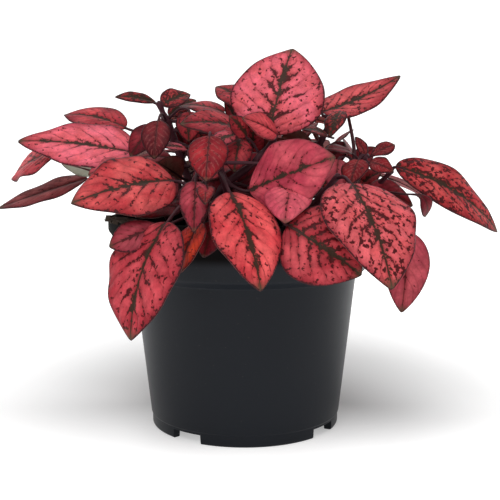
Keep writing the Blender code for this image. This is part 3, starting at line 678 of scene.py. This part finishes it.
# Shader building
class Value:
    """A node's output. Sums of values are written as sums, and each step adds a Math node."""

    def __init__(self, socket):
        self.socket, self.tree = socket, socket.id_data

    def math(self, operation, *others):
        """A Math node on this value and others."""
        return add_node(self.tree, "Math", [self, *others], operation=operation)

    def vector(self, operation, *others, out=0):
        """A Vector Math node on this vector and others."""
        return add_node(self.tree, "VectorMath", [self, *others], out, operation=operation)

    def part(self, number):
        """X, Y or Z of this vector, by number."""
        return add_node(self.tree, "SeparateXYZ", [self], number)

    def ramp(self, low, high):
        """0 at low and 1 at high, straight between them and level past them."""
        return add_node(self.tree, "MapRange", [self, low, high])

    def __rsub__(self, other):
        return add_node(self.tree, "Math", [other, self], operation="SUBTRACT")

    larger = partialmethod(math, "MAXIMUM")
    __add__ = __radd__ = partialmethod(math, "ADD")
    __mul__ = __rmul__ = partialmethod(math, "MULTIPLY")
    __sub__ = partialmethod(math, "SUBTRACT")
    __truediv__ = partialmethod(math, "DIVIDE")
    __pow__ = partialmethod(math, "POWER")


def feed(item, key, value):
    """Links a node's input to a value, or sets it to a number or colour."""
    if isinstance(value, Value):
        item.id_data.links.new(value.socket, item.inputs[key])
    else:
        item.inputs[key].default_value = value


def add_node(tree, kind, inputs=(), out=0, **settings):
    """Adds a shader node, feeds its inputs in order or by key, and gives one of its outputs."""
    item = tree.nodes.new("ShaderNode" + kind)
    for key, value in settings.items():
        setattr(item, key, value)
    for key, value in inputs.items() if isinstance(inputs, dict) else enumerate(inputs):
        feed(item, key, value)
    return Value(item.outputs[out])


def blend(tree, share, first, second, mode="MIX"):
    """Mixes two colours by a share, or multiplies the first by the second by that much."""
    return add_node(tree, "Mix", {0: share, 6: first, 7: second}, 2, data_type="RGBA", blend_type=mode)


def noise(where, scale, detail=2.0, rough=0.5):
    """Soft noise at a place, of so many features in a unit."""
    return add_node(
        where.tree, "TexNoise", {"Vector": where, "Scale": scale, "Detail": detail, "Roughness": rough})


def new_group(name, inputs):
    """A node group with named inputs, each (name, kind, value), and the values that come in by name."""
    tree = bpy.data.node_groups.new(name, "ShaderNodeTree")
    for title, kind, value in inputs:
        socket = tree.interface.new_socket(name=title, in_out="INPUT", socket_type="NodeSocket" + kind)
        socket.default_value = value
    given = tree.nodes.new("NodeGroupInput").outputs
    return tree, {title: Value(given[title]) for title, _, _ in inputs}


def close_group(tree, results):
    """Puts a group's results out by name: a colour where the name says so, and otherwise a number."""
    for title in results:
        kind = "Color" if title == "Colour" else "Float"
        tree.interface.new_socket(name=title, in_out="OUTPUT", socket_type="NodeSocket" + kind)
    item = tree.nodes.new("NodeGroupOutput")
    for title, value in results.items():
        feed(item, title, value)
    return tree


def attribute(tree, name):
    """A vector that the mesh holds at each point."""
    return add_node(tree, "Attribute", out=1, attribute_name=name)


def object_place(tree):
    """The place on the piece, in metres."""
    return add_node(tree, "TexCoord", out=3)


def leaf_markings():
    """Node group of the leaf's pattern. Each dark mark is where a width in mm, made ragged by noise,
    is more than the distance to a vein: a band on the midrib with wider torn blotches, branches
    along the side veins that thin out toward the margin, specks where noise is high, and a line
    along the margin. Young leaves have pale veins. It also gives the masks of painted shade: the
    troughs over the side veins, and the blade's foot by the petiole."""
    tree, given = new_group("leaf markings", [("Strength", "Float", 1.0)])
    flat, place, marks, build = (attribute(tree, name) for name in ("flat", "place", "marks", "build"))
    u, a, edge = (place.part(number) for number in range(3))
    blotch, specks, veins = (marks.part(number) for number in range(3))
    youth, length = (build.part(number) for number in range(2))
    middle = flat.part(1).math("ABSOLUTE")

    def moved_noise(shift, *settings):
        return noise(flat.vector("ADD", shift), *settings)

    fine = (noise(flat, 1.1, 3.0, 0.6) - 0.5) * 2.0
    coarse = (moved_noise((5.0, 17.0, 2.0), 0.42, 2.0, 0.6) - 0.5) * 2.0
    patch = moved_noise((40.0, 3.0, 9.0), 0.15, 1.0).ramp(0.40, 0.62)
    warp = (noise(flat, 0.16) - 0.5) * 0.13
    climb = u + warp - a * VEIN_LEAN - a * a * VEIN_BEND
    vein = (climb * SIDE_VEINS).math("PINGPONG", 0.5)
    aside = vein * length * (0.8 / SIDE_VEINS)

    # midrib band
    curve = tree.nodes.new("ShaderNodeFloatCurve")
    points = curve.mapping.curves[0].points
    for where, level in ((0.10, 0.6), (0.25, 1.0), (0.55, 0.95), (0.75, 0.5), (0.88, 0.2)):
        points.new(where, level)
    points[0].location = (0.0, 0.35)
    points[-1].location = (1.0, 0.1)
    curve.mapping.update()
    feed(curve, 1, u)
    envelope = Value(curve.outputs[0]) * blotch
    clear = veins.ramp(0.05, 0.30)
    knots = envelope * (0.20 + patch * 0.80)
    torn = (coarse + fine * 0.6) * (0.15 + knots * 3.6)
    band_room = clear * 0.32 + knots * 1.3 + torn - middle

    # branches along the side veins
    reach = 0.12 + (patch * 0.45 + veins * 0.48) * envelope
    fade = (1.0 - a / reach).ramp(0.0, 1.0)
    branch_width = fade ** 1.4 * (0.15 + veins * (0.50 + patch * 0.8))
    branch_width = branch_width + (coarse + fine * 1.5) * (fade * 1.8)
    gate = moved_noise((60.0, 23.0, 4.0), 0.2, 1.0).ramp(0.50, 0.64)
    thread = (gate * 0.22 + coarse * 1.3 - 0.14) * veins * a.ramp(1.0, 0.6)
    branch_room = branch_width.larger(thread) - aside

    # specks
    crowd = (moved_noise((19.0, 5.0, 50.0), 0.13, 1.0) - 0.5) * 0.16
    # the blade's foot by the petiole is painted darker as shade; with the darker tint toward the margin it
    # makes the rim mask, which also draws more specks
    foot = (u + coarse * 0.06).ramp(0.16, 0.0)
    rim = edge.ramp(5.0, 0.5).larger(foot)
    grit = moved_noise((3.0, 71.0, 31.0), 0.50, 2.0, 0.6) + crowd
    grit_room = grit + (aside.ramp(1.6, 0.0) * 0.035 + rim * 0.03) - (0.755 - specks * 0.175)

    # all dark marks, and the shade round them
    dark = band_room.ramp(-0.15, 0.25).larger(branch_room.ramp(-0.10, 0.15))
    dark = dark.larger(grit_room.ramp(-0.005, 0.018))
    halo = band_room.ramp(-1.6, 0.1).larger(branch_room.ramp(-1.0, 0.1) * (0.35 + fade * 0.65))
    halo = halo.larger(grit_room.ramp(-0.05, 0.0))
    drawn = 0.2 + clear * 0.8
    margin = (0.60 + fine * 1.3 - edge).ramp(-0.2, 0.2)

    # pale veins, valleys (troughs over the side veins, where painted shade falls and the relief sinks) and
    # relief
    pale = (aside + fine).ramp(0.42, 0.0).larger(middle.ramp(0.60, 0.20))
    valley = vein.ramp(0.32, 0.0) ** 1.6 * a.ramp(1.0, 0.6)
    valley = (valley * (veins * 0.7 + coarse * 0.9)).ramp(0.0, 1.0)
    crinkle = moved_noise((9.0, 33.0, 1.0), 0.42, 2.0, 0.6)
    return close_group(tree, {
        "Dark": dark * given["Strength"],
        "Olive": middle.ramp(2.4, 0.8) * blotch.ramp(0.2, 0.6),
        "Margin": margin * drawn,
        "Pale": pale * youth * (1.0 - a.ramp(0.6, 0.95)),
        "Valley": valley,
        "Height": noise(flat, 2.6) * 0.3 - valley * 0.5 + crinkle * 1.6,
        "MarginTintAndFootShade": rim * drawn,
        "Tip": u.ramp(0.90, 1.0),
        "Halo": halo,
    })


def mottle_group():
    """Node group that varies a colour over the surface: soft patches and a fine grain."""
    tree, given = new_group("mottle", [
        ("Colour", "Color", (0.5, 0.5, 0.5, 1.0)), ("Where", "Vector", (0.0, 0.0, 0.0)),
        ("Patches", "Float", 1.0), ("Grain", "Float", 10.0), ("Amount", "Float", 0.2)])
    where = given["Where"]
    value = noise(where, given["Patches"]) * 0.6 + noise(where, given["Grain"], 3.0, 0.6) * 0.4
    bright = 1.0 + (value - 0.5) * (given["Amount"] * 2.0)
    scaled = add_node(tree, "VectorMath", {0: given["Colour"], 3: bright}, operation="SCALE")
    return close_group(tree, {"Colour": scaled, "Value": value})


def new_material(name, roughness, specular):
    """A Principled material, its tree and its shader."""
    material = bpy.data.materials.new(name)
    material.use_nodes = True
    shader = material.node_tree.nodes["Principled BSDF"]
    shader.inputs["Roughness"].default_value = roughness
    shader.inputs["Specular IOR Level"].default_value = specular
    return material, material.node_tree, shader


def use_group(tree, group, **inputs):
    """Places a node group, feeds its named inputs and returns its outputs by name."""
    item = tree.nodes.new("ShaderNodeGroup")
    item.node_tree = group
    for name, value in inputs.items():
        feed(item, name, value)
    return {socket.name: Value(socket) for socket in item.outputs}


def mottled(tree, colour, where, patches, grain, amount):
    """A colour varied by the mottle group, and the value that varies it."""
    varied = use_group(tree, MOTTLE, Colour=colour, Where=where, Patches=patches, Grain=grain, Amount=amount)
    return varied["Colour"], varied["Value"]


def bump(shader, height, distance, strength):
    """A Bump node that feeds the shader's normal."""
    inputs = {"Strength": strength, "Distance": distance, "Height": height}
    feed(shader, "Normal", add_node(height.tree, "Bump", inputs))


MARKINGS = leaf_markings()
MOTTLE = mottle_group()
OLIVE = (0.027, 0.023, 0.014, 1.0)
WINE = (0.062, 0.007, 0.009, 1.0)
MARGIN = (0.034, 0.008, 0.011, 1.0)
PALE_VEIN = (0.62, 0.150, 0.140, 1.0)
VALLEY_PAINTED_SHADE = (0.52, 0.34, 0.38, 1.0)
MARGIN_TINT_AND_FOOT_SHADE = (0.52, 0.36, 0.42, 1.0)
HALO_SHADE = (0.36, 0.20, 0.20, 1.0)
TIP_GREEN = (0.11, 0.085, 0.05, 1.0)
UNDER_GREY = (0.20, 0.185, 0.13, 1.0)


def upper_face():
    """The blade's upper face: two tones of pink or red, quilted, with all its markings, and painted shade in
    the vein troughs and at the blade's foot.
    """
    material, tree, shader = new_material("leaf_upper_face", 0.48, 0.11)
    marks = use_group(tree, MARKINGS, Strength=1.0)
    flat = attribute(tree, "flat")
    share = noise(flat, 0.10, 2.0, 0.6).ramp(0.38, 0.64)
    colour = blend(tree, share, attribute(tree, "tone"), attribute(tree, "second"))
    colour, _ = mottled(tree, colour, flat, 0.24, 1.1, 0.80)
    for share, tint, mode in (
        (marks["Halo"] * 0.72, HALO_SHADE, "MULTIPLY"),
        # painted shade: darker in the troughs over the side veins
        (marks["Valley"] * 0.34, VALLEY_PAINTED_SHADE, "MULTIPLY"),
        # darker red toward the margin, the leaf's own tint, and painted shade at the blade's foot
        (marks["MarginTintAndFootShade"] ** 1.5, MARGIN_TINT_AND_FOOT_SHADE, "MULTIPLY"),
        (marks["Pale"] * 0.75, PALE_VEIN, "MIX"),
        (marks["Dark"] * 0.94, blend(tree, marks["Olive"], WINE, OLIVE), "MIX"),
        (marks["Tip"] * 0.75, TIP_GREEN, "MIX"),
        (marks["Margin"] * 0.92, MARGIN, "MIX"),
    ):
        colour = blend(tree, share, colour, tint, mode)
    feed(shader, "Base Color", colour)
    feed(shader, "Roughness", 0.40 + marks["Height"].ramp(0.2, 1.4) * 0.14)
    bump(shader, marks["Height"], 0.00025, 0.9)
    return material


def under_face():
    """The blade's underside: dull grey-green over the tone, with the markings showing through."""
    material, tree, shader = new_material("leaf_under_face", 0.6, 0.3)
    marks = use_group(tree, MARKINGS, Strength=0.6)
    flat = attribute(tree, "flat")
    share = 0.30 + noise(flat, 0.14, 2.0, 0.6).ramp(0.36, 0.66) * 0.35
    colour = blend(tree, share, attribute(tree, "tone"), UNDER_GREY)
    colour, _ = mottled(tree, colour, flat, 0.3, 1.6, 0.25)
    colour = blend(tree, marks["Dark"] * 0.7, colour, OLIVE)
    colour = blend(tree, marks["Margin"] * 0.6, colour, MARGIN)
    feed(shader, "Base Color", colour)
    bump(shader, marks["Height"] * -1.0, 0.00025, 0.8)
    return material


def stalk_skin():
    """The stalk's skin: dark purple-brown with fine streaks along it."""
    material, tree, shader = new_material("stalk_skin", 0.55, 0.22)
    stretched = attribute(tree, "flat").vector("MULTIPLY", (0.25, 1.0, 1.0))
    colour, streaks = mottled(tree, attribute(tree, "tone"), stretched, 0.6, 2.2, 0.7)
    feed(shader, "Base Color", colour)
    bump(shader, streaks, 0.0003, 0.7)
    return material


# Pot, as on the solid one, with rounder edges
POT_HEIGHT = 92.0
RIM_RADIUS = 60.0
RIM_DEPTH = 5.6
COLLAR_TOP_RADIUS = 57.4
COLLAR_TOP = 83.0
COLLAR_FOOT_RADIUS = 53.3
COLLAR_FOOT = 69.4
SHOULDER_RADIUS = 49.1
SHOULDER = 66.5
FOOT_RADIUS = 41.7
FOOT_HEIGHT = 5.4
FOOT_STEP = 0.5
FOOT_WIDTH = 3.4
FLOOR_UNDER = 4.0
WALL = 1.2
INNER_TAPER = 6.9
POT_COLUMNS = 288
CORNER_POINTS = 5
NOTCH_ANGLES = (-126.0, -36.0, 54.0, 144.0)
NOTCH_SPREAD = 20.0
NOTCH_CORNERS = (-0.15, 0.15)
DRAIN_RING = 25.0
DRAIN_RADIUS = 4.0
DRAIN_INNER = 16.0
DRAIN_OUTER = 34.0
FLOOR_STEPS = 24
SOIL_TOP = 82.0
SOIL_BUMP = 1.3
SOIL_RINGS = 90
SOIL_COLUMNS = 260
# Size and height of the crossed waves that roughen the soil
SOIL_WAVES = ((9.0, 0.7), (5.0, 0.5), (2.8, 0.45), (1.6, 0.35), (1.1, 0.25))
CRUMBS = 420
CRUMB_RADIUS = 54.0
RIM_CRUMBS = 70
RIM_CRUMB_RING = (57.4, 60.2)
RIM_CRUMB_ANGLES = (188, 222)
PALE_CRUMBS = 0.93


def rounded(corners):
    """A profile whose corners, each (radius, height, rounding), are turned into short curves."""
    points = np.array([corner[:2] for corner in corners], float)
    out = [points[0]]
    for number in range(1, len(corners) - 1):
        here, size = points[number], corners[number][2]
        before, after = points[number - 1] - here, points[number + 1] - here
        size_in = min(size, np.linalg.norm(before) * 0.45)
        size_out = min(size, np.linalg.norm(after) * 0.45)
        start, end = here + unit(before) * size_in, here + unit(after) * size_out
        for t in np.linspace(0, 1, CORNER_POINTS):
            out.append((1 - t) ** 2 * start + 2 * t * (1 - t) * here + t * t * end)
    out.append(points[-1])
    return np.array(out)


def add_floor(surface):
    """The floor's middle: a quarter of a ring about each drain hole, and a disc within. In a quarter
    each ray from the hole's rim runs out to the quarter's border, so the hole stays round."""
    step = np.radians(90 / FLOOR_STEPS)
    arc = np.arange(-FLOOR_STEPS // 2, FLOOR_STEPS // 2 + 1) * step
    outer = DRAIN_OUTER * np.stack([np.cos(arc), np.sin(arc)], -1)
    inner = DRAIN_INNER * np.stack([np.cos(arc), np.sin(arc)], -1)[::-1]
    side = np.linspace(0, 1, FLOOR_STEPS // 2 + 1)[1:-1, None]
    border = np.concatenate([outer, outer[-1] + side * (inner[0] - outer[-1]), inner,
                             inner[-1] + side * (outer[0] - inner[-1])])
    way = unit(border - (DRAIN_RING, 0.0))
    rim = (DRAIN_RING, 0.0) + DRAIN_RADIUS * way
    low, high = (np.full((len(border), 1), level) for level in (FLOOR_UNDER, FLOOR_UNDER + WALL))
    rings = np.stack([np.concatenate(pair, 1) for pair in (
        (border, high), (rim, high), (rim, low), (border, low))])
    for centre in NOTCH_ANGLES:
        turn = np.array(Matrix.Rotation(math.radians(centre), 3, "Z"))
        surface.add_grid(rings @ turn.T, 0, closed=True, flip=True)
    around_axis = np.arange(4 * FLOOR_STEPS) * step
    radii = np.array([0.02, DRAIN_INNER])[:, None]
    for level in (FLOOR_UNDER + WALL, FLOOR_UNDER):
        disc = np.stack(np.broadcast_arrays(
            radii * np.cos(around_axis), radii * np.sin(around_axis), level), -1)
        surface.add_grid(disc, 0, closed=True, flip=level == FLOOR_UNDER)


def pot_piece(material):
    """The pot: its section turned about Z, with the foot's points lifted to the floor at each notch,
    and the floor's middle turned round each drain hole."""
    inner_foot = SHOULDER_RADIUS - WALL - INNER_TAPER
    profile = rounded([
        (DRAIN_OUTER, FLOOR_UNDER, 0),
        (FOOT_RADIUS - FOOT_WIDTH, FLOOR_UNDER, 0.5),
        (FOOT_RADIUS - FOOT_WIDTH, 0, 0.5),
        (FOOT_RADIUS, 0, 1.0),
        (FOOT_RADIUS, FOOT_HEIGHT - FOOT_STEP, 0.3),
        (FOOT_RADIUS + FOOT_STEP, FOOT_HEIGHT, 0.3),
        (SHOULDER_RADIUS, SHOULDER, 0.6),
        (COLLAR_FOOT_RADIUS, COLLAR_FOOT, 0.9),
        (COLLAR_TOP_RADIUS, COLLAR_TOP, 1.0),
        (RIM_RADIUS, POT_HEIGHT - RIM_DEPTH, 1.0),
        (RIM_RADIUS, POT_HEIGHT, 0.9),
        (RIM_RADIUS - WALL * 2, POT_HEIGHT, 0.7),
        (COLLAR_TOP_RADIUS - WALL, COLLAR_TOP, 0.8),
        (COLLAR_FOOT_RADIUS - WALL, COLLAR_FOOT + WALL / 2, 0.8),
        (SHOULDER_RADIUS - WALL, SHOULDER + WALL / 2, 0.8),
        (inner_foot, FLOOR_UNDER + WALL, 1.0),
        (DRAIN_OUTER, FLOOR_UNDER + WALL, 0),
    ])
    angles = np.linspace(-180, 180, POT_COLUMNS, endpoint=False)
    sharp = [centre + side * (NOTCH_SPREAD / 2 + out)
             for centre in NOTCH_ANGLES for side in (-1, 1) for out in NOTCH_CORNERS]
    angles = np.sort(np.unique(np.concatenate([angles, sharp])))
    in_notch = np.zeros(len(angles), bool)
    for centre in NOTCH_ANGLES:
        in_notch |= abs((angles - centre + 180) % 360 - 180) < NOTCH_SPREAD / 2
    turn = np.radians(angles)
    radius, height = profile[:, :1], profile[:, 1:]
    lifted = np.where(in_notch[None, :] & (height < FLOOR_UNDER), FLOOR_UNDER, height + 0 * turn)
    grid = np.stack([radius * np.cos(turn), radius * np.sin(turn), lifted], -1)
    surface = Surface()
    surface.add_grid(grid, 0, closed=True, flip=True)
    add_floor(surface)
    pot = surface.make("nursery_pot", [material])
    pot.data.set_sharp_from_angle(angle=math.radians(40))
    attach(pot, "root")
    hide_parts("pot")


def pot_plastic():
    """Moulded black plastic with a blue-grey cast, faint mould marks round it, a little dust, and a
    band at the top painted near-black as the shade that the leaves cast on it, and made duller."""
    material, tree, shader = new_material("moulded_black_plastic", 0.4, 0.14)
    where = object_place(tree)
    colour, varied = mottled(tree, (0.0066, 0.0084, 0.0122, 1), where, 22.0, 420.0, 0.16)
    dust = noise(where, 900.0, 1.0).ramp(0.72, 0.80)
    colour = blend(tree, dust * 0.25, colour, (0.06, 0.05, 0.045, 1))
    # painted shade: the pot's top band, upper collar and rim, is darkened as if in the leaves' shadow, and
    # made rougher
    painted_shade_band = where.part(2).ramp(0.0755, 0.0790)
    colour = blend(tree, painted_shade_band, colour, (0.0022, 0.0016, 0.0016, 1))
    feed(shader, "Base Color", colour)
    feed(shader, "Roughness", (0.34 + varied * 0.14 + painted_shade_band * 0.55).ramp(0.0, 1.0))
    rings = noise(where.vector("MULTIPLY", (3.0, 3.0, 160.0)), 1.0)
    bump(shader, rings * 0.6 + varied * 0.4, 0.0002, 0.35)
    return material


def soil_height(x, y):
    """Height of the soil: gentle clods of a few crossed waves, and a little lower at the wall."""
    clods = np.sin(x * 0.31 + 1.2) * np.cos(y * 0.27 - 0.4) + 0.6 * np.sin(x * 0.13 - y * 0.22 + 2.0)
    return SOIL_TOP + SOIL_BUMP * clods - 0.0009 * (x * x + y * y)


def soil_piece(material, random):
    """The potting mix: a closed round plug with clods and crumbs, crossed waves of many sizes."""
    radius = COLLAR_TOP_RADIUS - WALL - 1.0
    wall = np.array([(0.02, 5.6), (40.0, 5.6), (46.8, 66.0), (50.8, 71.5), (radius - 0.6, SOIL_TOP - 2)])
    rings = np.concatenate([wall[:, 0], np.linspace(radius, 0.02, SOIL_RINGS)])
    heights = np.concatenate([wall[:, 1], np.full(SOIL_RINGS, SOIL_TOP)])
    turn = np.linspace(0, 2 * math.pi, SOIL_COLUMNS, endpoint=False)
    x, y = rings[:, None] * np.cos(turn), rings[:, None] * np.sin(turn)
    z = heights[:, None] + 0 * x
    rough = np.zeros_like(x)
    for size, tall in SOIL_WAVES:
        for _ in range(4):
            way, phase = random.uniform(0, FULL_TURN), random.uniform(0, FULL_TURN)
            along = (x * math.cos(way) + y * math.sin(way)) * FULL_TURN / size
            bend = 2.0 * np.sin((x * math.sin(way) + y * math.cos(way)) / size * 0.7 + phase)
            rough += tall / 4 * np.sin(along + bend + phase)
    top = np.arange(len(rings)) >= len(wall)
    z[top] = (soil_height(x, y) + rough)[top]
    surface = Surface()
    surface.add_grid(np.stack([x, y, z], -1), 0, closed=True, flip=True)
    soil = surface.make("potting_mix", [material])
    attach(soil, "root")
    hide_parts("soil")


def crumbs_piece(materials, random):
    """Crumbs on the soil and on the rim: small lumpy boxes, each a turned and stretched cube."""
    corners = np.array([[i, j, k] for i in (-1, 1) for j in (-1, 1) for k in (-1, 1)], float)
    faces = np.array([[0, 1, 3, 2], [4, 6, 7, 5], [0, 4, 5, 1], [2, 3, 7, 6], [0, 2, 6, 4], [1, 5, 7, 3]])
    surface = Surface()
    for number in range(CRUMBS + RIM_CRUMBS):
        on_rim = number >= CRUMBS
        radius, angle = CRUMB_RADIUS * math.sqrt(random.uniform(0, 1)), random.uniform(0, FULL_TURN)
        if on_rim:
            radius, angle = random.uniform(*RIM_CRUMB_RING), math.radians(random.uniform(*RIM_CRUMB_ANGLES))
        x, y = radius * math.cos(angle), radius * math.sin(angle)
        size = random.uniform(0.4, 1.3) * np.array([random.uniform(0.8, 2.0), 1.0, random.uniform(0.4, 0.8)])
        lump = corners * size * random.uniform(0.6, 1.15, (8, 1))
        turn = (Matrix.Rotation(random.uniform(0, FULL_TURN), 3, "Z")
                @ Matrix.Rotation(random.uniform(-0.5, 0.5), 3, "X"))
        level = POT_HEIGHT + random.uniform(-1.5, 0.6) if on_rim else soil_height(x, y) + 0.5
        lump = lump @ np.array(turn).T + [x, y, level]
        surface.add(lump, faces, int(random.uniform(0, 1) > PALE_CRUMBS and not on_rim))
    crumbs = surface.make("soil_crumbs", materials)
    crumbs.data.shade_flat()
    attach(crumbs, "root")


def soil_material(name, colour, amount):
    """Moist mix or grit: soft patches and rough grains."""
    material, tree, shader = new_material(name, 0.9, 0.25)
    colour, varied = mottled(tree, colour, object_place(tree), 120.0, 900.0, amount)
    feed(shader, "Base Color", colour)
    bump(shader, varied, 0.0012, 0.9)
    return material


# Studio: the sky's light, and how far the pot's soft shadow reaches over the glowing floor, in metres
WORLD_LIGHT = 0.28
SHADOW_ROUND = (0.045, 0.205)
SHADOW_FRONT = (0.022, -0.072)
FLOOR_GLOW = 0.9
LENS, SENSOR = 61.2, 36.0
CAMERA_PLACE = (0.0022, -0.3765, 0.1195)
CAMERA_DOWN = 6.51
# Each lamp's place, what it faces, its size and its power
LAMPS = {
    "key_light": ((-0.30, -0.85, 1.2), (0, 0, 0.08), 0.7, 8.5),
    "fill_light": ((1.0, -0.5, 0.7), (0, 0, 0.08), 0.9, 1.0),
    "top_light": ((0.0, 0.25, 1.4), (0, 0, 0.05), 1.1, 3.5),
}


def stage():
    """A pale floor that turns up into a wall by a quarter of a circle, soft lights and the camera.

    The floor glows white away from the pot, so that only the pot's soft shadow is grey. Past the
    floor's end the sky looks white too, but it lights the plant only dimly.
    """
    world = bpy.data.worlds.new("studio")
    bpy.context.scene.world = world
    world.use_nodes = True
    sky = world.node_tree.nodes["Background"]
    feed(sky, 0, (1.0, 1.0, 1.0, 1.0))
    seen = add_node(world.node_tree, "LightPath")
    feed(sky, 1, add_node(world.node_tree, "MapRange", {0: seen, 3: WORLD_LIGHT, 4: 1.0}))
    material, tree, shader = new_material("pale_floor", 0.7, 0.2)
    where = object_place(tree)
    feed(shader, "Base Color", mottled(tree, (0.64, 0.64, 0.64, 1), where, 2.0, 60.0, 0.01)[0])
    oval = where.vector("MULTIPLY_ADD", (1.0, 0.6, 0.0), (0.0, -0.018, 0.0))
    away = oval.vector("LENGTH", out=1).ramp(*SHADOW_ROUND)
    front = where.part(1).ramp(*SHADOW_FRONT)
    glow = add_node(tree, "CombineXYZ", [away, front, 0.0]).vector("LENGTH", out=1)
    glow = glow.math("MINIMUM", 1.0) * FLOOR_GLOW
    feed(shader, "Emission Color", add_node(tree, "CombineXYZ", [glow, glow, glow]))
    feed(shader, "Emission Strength", 1.0)
    turn = np.linspace(0, math.pi / 2, 24)
    deep = np.concatenate([[-3.0], 1.2 + 1.2 * np.sin(turn), [2.4]])[:, None]
    high = np.concatenate([[0.0], 1.2 - 1.2 * np.cos(turn), [4.0]])[:, None]
    grid = np.stack(np.broadcast_arrays(np.linspace(-4, 4, 9), deep, high), -1)
    surface = Surface()
    surface.add_grid(grid / MM, 0, flip=True)
    floor = surface.make("pale_floor", [material])
    for name, (place, aim, size, power) in LAMPS.items():
        lamp = bpy.data.lights.new(name, "AREA")
        lamp.shape, lamp.size, lamp.energy = "DISK", size, power
        back = unit(np.array(place) - np.array(aim))
        side = unit(np.cross([0.0, 0.0, 1.0], back))
        axes = np.array([side, np.cross(back, side), back]).T
        turn = Matrix(axes.tolist()).to_4x4()
        new_object(name, lamp).matrix_world = Matrix.Translation(place) @ turn
    view = bpy.data.cameras.new("camera")
    view.lens, view.sensor_width = LENS, SENSOR
    camera = new_object("camera", view)
    tilt = Matrix.Rotation(math.radians(90 - CAMERA_DOWN), 4, "X")
    camera.matrix_world = Matrix.Translation(CAMERA_PLACE) @ tilt
    bpy.context.scene.camera = camera
    bpy.context.scene.view_settings.view_transform = "Standard"


stage()
LEAF_SKINS = [upper_face(), under_face(), stalk_skin()]
growth = np.random.default_rng(SEED + 2)
stems = all_stems()
for stem_name, stem_stalk, stem_leaves in stems:
    stem_piece(stem_name, stem_stalk, stem_leaves, LEAF_SKINS, growth)
inner_piece({stem[0]: stem[1] for stem in stems}, LEAF_SKINS, np.random.default_rng(SEED + 3))
pot_piece(pot_plastic())
dark_mix = soil_material("potting_mix_brown", (0.030, 0.020, 0.014, 1), 0.8)
soil_piece(dark_mix, growth)
crumbs_piece([dark_mix, soil_material("pale_grit", (0.45, 0.43, 0.39, 1), 0.3)], growth)
